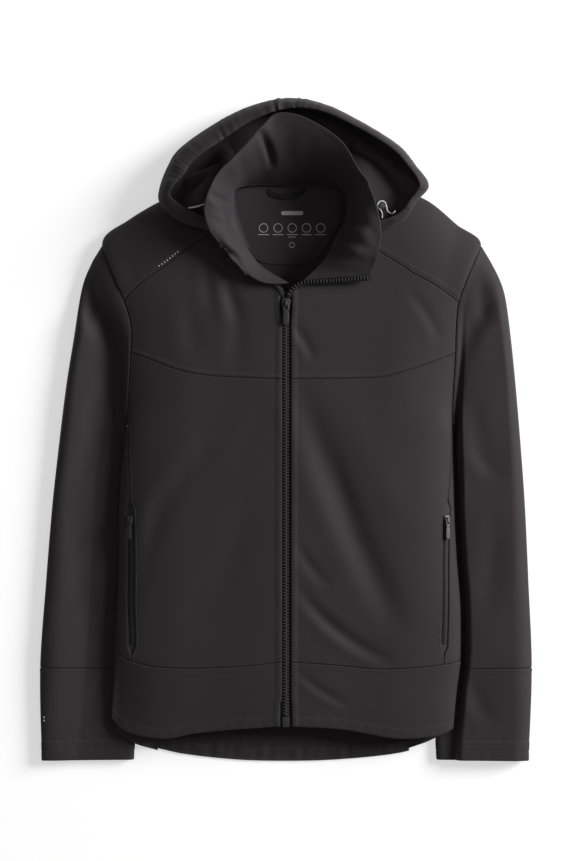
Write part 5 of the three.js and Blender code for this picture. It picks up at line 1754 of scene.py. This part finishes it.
def tape(
    name: str, run: Run, half: float, count: int, drop: float = TAPE_DROP, finish: Finish = TAPE_AND_SEAM_SHADE
) -> bpy.types.Object:
    """Woven tape of a zip, with three low ribs along it in the form of a cosine.

    Args:
        name: Name of the CAD node that it stands for.
        run: Frames along the zip.
        half: Half its width.
        count: Number of rows along it.
        drop: How far it lies under the frames.
        finish: Its finish.

    Returns:
        The piece.
    """
    here = run.at(np.linspace(0, along(run.origin)[-1], count))
    xs = np.linspace(-half, half, 9)
    rib = 0.12 * np.cos(np.linspace(0, 6 * math.pi, len(xs))) - 0.06 - drop
    top = np.stack([here.place(x, 0, r) for x, r in zip(xs, rib)], axis=1)
    bottom = np.stack([here.place(x, 0, -drop - TAPE_THICK) for x in xs], axis=1)
    return closed_sheet(name, top, bottom, finish)


def closed_sheet(
    name: str, top: Array, bottom: Array, finish: Finish, is_node: bool = True
) -> bpy.types.Object:
    """Closed form between two grids of points of the same size.

    Args:
        name: Name of the piece, and of the CAD node that it stands for.
        top: Upper grid.
        bottom: Lower grid.
        finish: Its finish.
        is_node: Whether it stands for a CAD node.

    Returns:
        The piece.
    """
    points = np.concatenate([top.reshape(-1, 3), bottom.reshape(-1, 3)])
    faces = np.concatenate(closed_faces(*top.shape[:2]))
    gone = np.stack([lengths(top, 1), lengths(top, 0)], axis=-1)
    uv = np.tile(gone.reshape(-1, 2) * MM, (2, 1))
    piece = add_mesh(f"{name}_visual", points, outward(points, [faces]), (finish,), uv=uv)
    if is_node:
        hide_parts(name)
    return piece


FLAT_ANGLE = math.radians(4)  # faces that meet at less are merged
SHARP_ANGLE = math.radians(35)  # edges over it are rounded


def softened(node: str, body: str, finish: Finish, width: float) -> bpy.types.Object:
    """A metal part with the outline of its CAD node and rounded edges, in the node's place.

    Args:
        node: Name of the CAD node.
        body: Body it moves with.
        finish: Its finish.
        width: Width of the rounding in millimetres.

    Returns:
        The piece.
    """
    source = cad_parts[node]
    mesh = bpy.data.meshes.new(f"{node}_round")
    corners = np.empty(len(source.data.vertices) * 3, np.float32)
    source.data.vertices.foreach_get("co", corners)
    triangles = [tuple(p.vertices) for p in source.data.polygons]
    mesh.from_pydata(corners.reshape(-1, 3).tolist(), [], triangles)
    form = bmesh.new()
    form.from_mesh(mesh)
    bmesh.ops.remove_doubles(form, verts=form.verts, dist=1e-6)
    bmesh.ops.dissolve_limit(form, angle_limit=FLAT_ANGLE, verts=form.verts, edges=form.edges)
    sharp = [e for e in form.edges if len(e.link_faces) == 2 and e.calc_face_angle() > SHARP_ANGLE]
    bmesh.ops.bevel(
        form, geom=sharp, offset=width * MM, segments=3, profile=0.5, affect="EDGES", clamp_overlap=True
    )
    bmesh.ops.triangulate(form, faces=[f for f in form.faces if len(f.verts) > 4])
    bmesh.ops.recalc_face_normals(form, faces=form.faces)
    form.to_mesh(mesh)
    form.free()
    mesh.materials.clear()
    mesh.materials.append(finish.material())
    mesh.polygons.foreach_set("use_smooth", np.ones(len(mesh.polygons), bool))
    mesh.set_sharp_from_angle(angle=math.radians(40))
    piece = bpy.data.objects.new(f"{node}_round", mesh)
    bpy.context.scene.collection.objects.link(piece)
    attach(piece, body)
    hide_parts(node)
    log.info("%s: %d faces", piece.name, len(mesh.polygons))
    return piece


def front_run() -> Run:
    """Frames along the closed front zip."""
    y = np.linspace(ZIP_FOOT_Y, ZIP_TOP_Y, 200)
    origin = stack(0 * y, y, CROWN("z", y) - TAPE_SINK)
    return Run.of(origin, np.tile([1.0, 0, 0], (len(y), 1)))


def pocket_run(side: Side, low: float, high: float) -> Run:
    """Frames along a pocket between two heights."""
    y = np.linspace(low, high, 80)
    middle = body_point(side, side_seam_q(side, y, 0), y)
    far = [body_point(side, side_seam_q(side, y, k), y) for k in (-1, 1)]
    return Run.of(middle, (far[0] - far[1]) * side.sign).moved(0, -TAPE_SINK)


@dataclass
class Zips:
    """Front zip with its open ends, and the two pocket zips.

    Attributes:
        rounding: Width of the rounded edges of the front zip's metal.
        pocket_rounding: The same for the pocket zips.
        spare: How far the front tape reaches under the cloth.
        pocket_spare: The same for the pocket zips.
        coil_end: Height at which the pocket's coil ends, just below its slider.
        strip_half: Half width of the open ends' tape.
        strip_teeth: Place of their teeth, across and away from the tape.
    """

    rounding: float = 0.35
    pocket_rounding: float = 0.28
    spare: float = 2.6
    pocket_spare: float = 2.5
    coil_end: float = -118.5 - GAP
    strip_half: float = 2.7
    strip_teeth: tuple[float, float] = (1.5, -0.4)

    def build(self) -> None:
        """Makes tapes, teeth, sliders and pulls."""
        run = front_run()
        tape("zip_chain", run, FRONT_ZIP.tape + self.spare, 240)
        teeth("front_teeth", run, FRONT_ZIP, (1, -1))
        for node, body, finish in (
            ("zip_box", BODY, SLIDER), ("zip_slider", BODY, SLIDER), ("zip_pull", "zip_pull", PULL)
        ):
            softened(node, body, finish, self.rounding)
        for side in Side:
            name = side.label
            run = pocket_run(side, POCKET_FOOT_Y - POCKET_TAPER, POCKET_TOP_Y + POCKET_TAPER)
            tape(f"pocket_zip_{name}", run, POCKET_ZIP.tape + self.pocket_spare, 90, 0.75, POCKET_TAPE)
            run = pocket_run(side, POCKET_FOOT_Y + 1, self.coil_end)
            teeth(f"pocket_teeth_{name}", run, POCKET_ZIP, (1, -1), finish=COIL)
            softened(f"pocket_slider_{name}", BODY, SLIDER, self.pocket_rounding)
            softened(f"pocket_pull_{name}", f"pocket_pull_{name}", PULL, self.pocket_rounding)
            run = Run.level(OPEN_ZIP[side], 90)
            tape(f"zip_open_{name}", run, self.strip_half, 90, 0.5)
            teeth(f"open_teeth_{name}", run.moved(*self.strip_teeth), FRONT_ZIP, (-1,), closed=False)


# Neck and cords

FACING_Z = CLOTH + GAP + 1.0  # height of the facing's upper side
HANGER_LOOP = ((-23, 303.5, 4.2), (-17, 298, 5.4), (0, 294.5, 6.4), (17, 298, 5.4), (24, 303.5, 4.2))


@dataclass
class PlainMarks:
    """Plain rings and bars printed on the facing, as one piece of low closed forms.

    Attributes:
        sink: How far the print reaches into the cloth.
        rise: Height of its face over the cloth.
        columns: Places across of the five rings and the bars under them.
        ring_sides: Number of sides of a ring.
        bar_sides: Number of corners of a bar with its round ends.
    """

    sink: float = 0.02
    rise: float = 0.06
    columns: tuple[float, ...] = (-28.3, -9.9, 7.9, 25.9, 43.9)
    ring_sides: int = 48
    bar_sides: int = 24

    def build(self) -> None:
        """Five rings with a bar under each, one wide bar over them, a short bar and a small ring below."""
        rings = [(x, 255.3, 5.4, 0.45) for x in self.columns] + [(7.7, 233.8, 3.2, 0.4)]
        bars = [(x, 246.8, 6.8, 0.5) for x in self.columns]
        bars += [(7.9, 274.0, 14.0, 2.6), (7.9, 243.8, 5.0, 0.4)]
        forms = [self._ring(*ring) for ring in rings] + [self._bar(*bar) for bar in bars]
        points = np.concatenate([p for p, _ in forms])
        firsts = np.cumsum([0, *(len(p) for p, _ in forms)])
        faces = np.concatenate([f + first for (_, f), first in zip(forms, firsts)])
        add_mesh("facing_print", points, [faces], (PRINT,))

    def _ring(self, x: float, y: float, radius: float, half: float) -> tuple[Array, Array]:
        """Points and faces of a ring: a low rectangle carried round a circle."""
        turn = 2 * math.pi * np.arange(self.ring_sides) / self.ring_sides
        section = ((-1, 0), (1, 0), (1, 1), (-1, 1))
        rows = [
            stack(x + (radius + half * r) * np.cos(turn), y + (radius + half * r) * np.sin(turn),
                  FACING_Z + self.rise * h - self.sink)
            for r, h in section
        ]
        here = np.arange(self.ring_sides)[:, None] * len(section)
        there = np.roll(here, -1, axis=0)
        k = np.arange(len(section))
        after = np.roll(k, -1)
        faces = np.stack([here + k, there + k, there + after, here + after], axis=-1)
        return np.stack(rows, axis=1).reshape(-1, 3), faces.reshape(-1, 4)

    def _bar(self, x: float, y: float, half: float, tall: float) -> tuple[Array, Array]:
        """Points and faces of a bar: two half circles moved apart, with a fan of quads on either side."""
        count = self.bar_sides
        angle = 2 * math.pi * np.arange(count) / count
        px = x + np.clip(np.cos(angle) * 9, -1, 1) * (half - tall) + tall * np.cos(angle)
        py = y + tall * np.sin(angle)
        points = np.concatenate([stack(px, py, FACING_Z - self.sink), stack(px, py, FACING_Z + self.rise)])
        k = np.arange(count)
        after = np.roll(k, -1)
        wall = np.stack([k, after, after + count, k + count], axis=-1)
        odd = np.arange(1, count - 3, 2)
        fan = np.stack([0 * odd, odd, odd + 1, odd + 2], axis=-1)
        return points, np.concatenate([wall, fan[:, ::-1], fan + count])


@dataclass
class NeckPieces:
    """Facing and hanger loop inside the back neck.

    Attributes:
        half: Half width of the facing.
        foot: Height of its lower edge in the middle.
        foot_rise: How far that edge rises at its corners.
        head_gap: Distance of its upper edge from the neck seam.
        row: Distance of the stitches from its lower edge.
        loop_half: Half width of the loop.
        loop_thick: Thickness of the loop.
    """

    half: float = 70.0
    foot: float = 209.0
    foot_rise: float = 34.0
    head_gap: float = 5.0
    row: float = 2.4
    loop_half: float = 2.5
    loop_thick: float = 1.0

    def build(self, sewing: Stitching) -> None:
        """Makes the pieces and the print on the facing."""
        head = NECK_SEAM_Y - self.head_gap

        def facing(s: Array, v: Array) -> Array:
            """Level shield: its sides widen upwards in two soft steps, its lower corners are rounded."""
            foot = lerp(self.foot, self.foot + self.foot_rise, np.abs(s) ** 4)
            half = self.half * (0.82 + 0.18 * smooth(0, 0.4, v) + 0.1 * smooth(0.72, 0.92, v))
            return stack(s * half, lerp(foot, head, v), FACING_Z)

        hem = Edge(roll=0.5, reach=1.0, rows=(self.row,), pucker=0.05)
        across = np.linspace(-1, 1, 72)
        edges = {Rim.V_LOW: hem}
        piece = Panel("neck_facing", facing, across, spread(95, 32), 1.0, 1.0, edges=edges, seed=21.0)
        piece.build("facing", FACING, FACING, rests_on=("back_panel",))
        sewing.row(*piece.line(Rim.V_LOW, self.row))
        run = Run.level(HANGER_LOOP, 60)
        xs = np.linspace(-self.loop_half, self.loop_half, 9)
        rise = 0.1 * np.cos(xs * 5)
        top = np.stack([run.place(x, 0, r - 0.1) for x, r in zip(xs, rise)], axis=1)
        bottom = np.stack([run.place(x, 0, -self.loop_thick) for x in xs], axis=1)
        closed_sheet("hanger_loop", top, bottom, TAPE_AND_SEAM_SHADE)
        PlainMarks().build()


# Routes of the free cords, from where each leaves the brim
CORD_LEFT = (
    (136.5, 273.4, 58.5), (132, 270.5, 55), (127, 274, 51), (125.6, 280, 48.5), (124, 284.6, 47.6),
    (119.8, 286.6, 47.2), (115.6, 284.4, 47), (115, 279.4, 47), (118.4, 275.4, 47.6), (120.3, 271, 48.4),
    (120.3, 264.6, 49),
)
CORD_RIGHT = (
    (-122.2, 277.3, 56.4), (-112.5, 278.8, 57.4), (-105.6, 281, 56.5), (-97, 284, 54), (-89, 286, 51.5),
)
CORD_RADIUS = 0.9
LOCK_PLACE = (120.3, 280.6, 47.0)
LOCK_RADIUS = 3.8
LOCK_HALF = 2.5
# Radius and height of the lock's outline, as shares of its own
LOCK_PROFILE = (
    (0.8, -1), (0.97, -0.86), (1, -0.6), (0.93, -0.3), (0.93, 0.1), (1, 0.3), (1, 0.6), (0.95, 0.84),
    (0.74, 0.9), (0.6, 0.9), (0.56, 1.0),
)


@dataclass
class Cords:
    """Free ends of the hood's drawstring, and the cord lock on the left one.

    Attributes:
        sides: Number of sides of a cord.
        lock_sides: Number of sides of the lock.
    """

    sides: int = 16
    lock_sides: int = 40

    def build(self) -> None:
        lock = self._lock()
        cords = (("hood_cord_left", CORD_LEFT, [lock]), ("hood_cord_right", CORD_RIGHT, []))
        for name, route, pieces in cords:
            line = rounded(route, 240)
            piece = self._tube(name, line)

    def _tube(self, name: str, line: Array) -> bpy.types.Object:
        """Braided cord: its radius swells where two sets of strands cross on spirals of opposite hand."""
        ahead = unit(np.gradient(line, axis=0))
        side = unit(np.cross(ahead, [0.0, 0.0, 1.0]))
        up = np.cross(side, ahead)
        theta = 2 * math.pi * np.arange(self.sides) / self.sides
        s = along(line)[:, None]
        braid = 1 + 0.05 * np.cos(4 * theta + s * 2.6) * np.cos(4 * theta - s * 2.6)
        ends = np.minimum(1, np.sqrt(np.clip((0.25 + np.minimum(s, s[-1] - s)) / 0.8, 0, 1)))
        radius = CORD_RADIUS * braid * ends
        ring = (side[:, None] * np.cos(theta)[None, :, None] + up[:, None] * np.sin(theta)[None, :, None])
        points = (line[:, None] + ring * radius[..., None]).reshape(-1, 3)
        faces = outward(points, turned_faces(len(line), self.sides))
        piece = add_mesh(f"{name}_braid", points, faces, (CORD,))
        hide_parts(name)
        return piece

    def _lock(self) -> bpy.types.Object:
        """Round cord lock: a barrel with rounded shoulders and a waist, turned round an upright axis."""
        radius, height = np.array(LOCK_PROFILE).T
        theta = 2 * math.pi * np.arange(self.lock_sides) / self.lock_sides
        points = stack(
            LOCK_PLACE[0] + LOCK_RADIUS * radius[:, None] * np.cos(theta),
            LOCK_PLACE[1] + LOCK_RADIUS * radius[:, None] * np.sin(theta),
            LOCK_PLACE[2] + LOCK_HALF * height[:, None] + 0 * theta,
        ).reshape(-1, 3)
        faces = outward(points, turned_faces(len(radius), self.lock_sides))
        piece = add_mesh("cord_lock_round", points, faces, (LOCK,), sharp=40)
        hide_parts("cord_lock")
        return piece


# Studio


@dataclass(frozen=True)
class Lamp:
    """Soft area light that looks at the jacket."""

    name: str
    place: tuple[float, float, float]
    size: float
    power: float

    def build(self) -> None:
        """Makes the light."""
        light = bpy.data.lights.new(self.name, "AREA")
        light.shape, light.size, light.energy = "DISK", self.size, self.power
        lamp = bpy.data.objects.new(self.name, light)
        lamp.location = self.place
        lamp.rotation_euler = (-Vector(self.place)).to_track_quat("-Z", "Y").to_euler()
        bpy.context.scene.collection.objects.link(lamp)


@dataclass
class Studio:
    """Camera straight over the jacket, a soft lamp at the picture's right, pale surroundings and floor.

    Attributes:
        height: Height of the camera.
        width: Width of the picture at level, in metres.
        level: Height of the plane that the width holds for.
        centre: Middle of the picture.
        sensor: Width of the camera's sensor in millimetres.
        sky: Strength of the surroundings.
        lamp: The lamp.
        floor_half: Half the side of the floor in millimetres.
        floor_drop: How far the floor lies under the jacket in millimetres.
    """

    height: float = 4.8
    width: float = 0.72324
    level: float = 0.015
    centre: tuple[float, float] = (0.0013, -0.0006)
    sensor: float = 36.0
    sky: float = 0.25
    lamp: Lamp = Lamp("key", (5.1, 1.95, 2.75), 3.0, 700.0)
    floor_half: float = 3000.0
    floor_drop: float = 0.3

    def camera(self) -> None:
        """Makes the camera."""
        lens = bpy.data.cameras.new("camera")
        lens.sensor_fit, lens.sensor_width = "HORIZONTAL", self.sensor
        lens.lens = self.sensor * (self.height - self.level) / self.width
        lens.clip_end = 50
        camera = bpy.data.objects.new("camera", lens)
        camera.location = (*self.centre, self.height)
        bpy.context.scene.collection.objects.link(camera)
        bpy.context.scene.camera = camera

    def light(self) -> None:
        """Makes the floor, the lights and the world."""
        half, low = self.floor_half, -self.floor_drop
        points = np.array([[-half, -half, low], [half, -half, low], [half, half, low], [-half, half, low]])
        add_mesh("floor", points, [np.array([[0, 1, 2, 3]])], (FLOOR,), body=None)
        self.lamp.build()
        world = bpy.data.worlds.new("surroundings")
        world.use_nodes = True
        background = world.node_tree.nodes["Background"]
        background.inputs["Color"].default_value = (1.0, 1.0, 1.0, 1.0)
        background.inputs["Strength"].default_value = self.sky
        bpy.context.scene.world = world
        bpy.context.scene.view_settings.view_transform = "Standard"


def main() -> None:
    """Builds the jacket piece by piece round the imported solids."""
    logging.basicConfig(level=logging.INFO, format="%(message)s")
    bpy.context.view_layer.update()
    studio = Studio()
    studio.camera()
    Cords().build()
    body_sewing = Stitching("sewing_body")
    sleeve_sewing = Stitching("sewing_sleeves")
    neck_sewing = Stitching("sewing_neck")
    marks = Stitching("plain_dashes", pitch=4.2, length=2.3, radius=0.9)
    for side in Side:
        BodyPieces(side).build(body_sewing)
        YokePiece(side).build(body_sewing, marks)
        SleevePieces(side).build(sleeve_sewing, marks)
    BackPieces().build(body_sewing)
    CollarPiece().build(neck_sewing)
    HoodPieces().build(neck_sewing)
    Zips().build()
    NeckPieces().build(neck_sewing)
    for sewing in (body_sewing, sleeve_sewing, neck_sewing):
        sewing.build()
    marks.build(PRINT)
    studio.light()


if __name__ == "__main__":
    main()
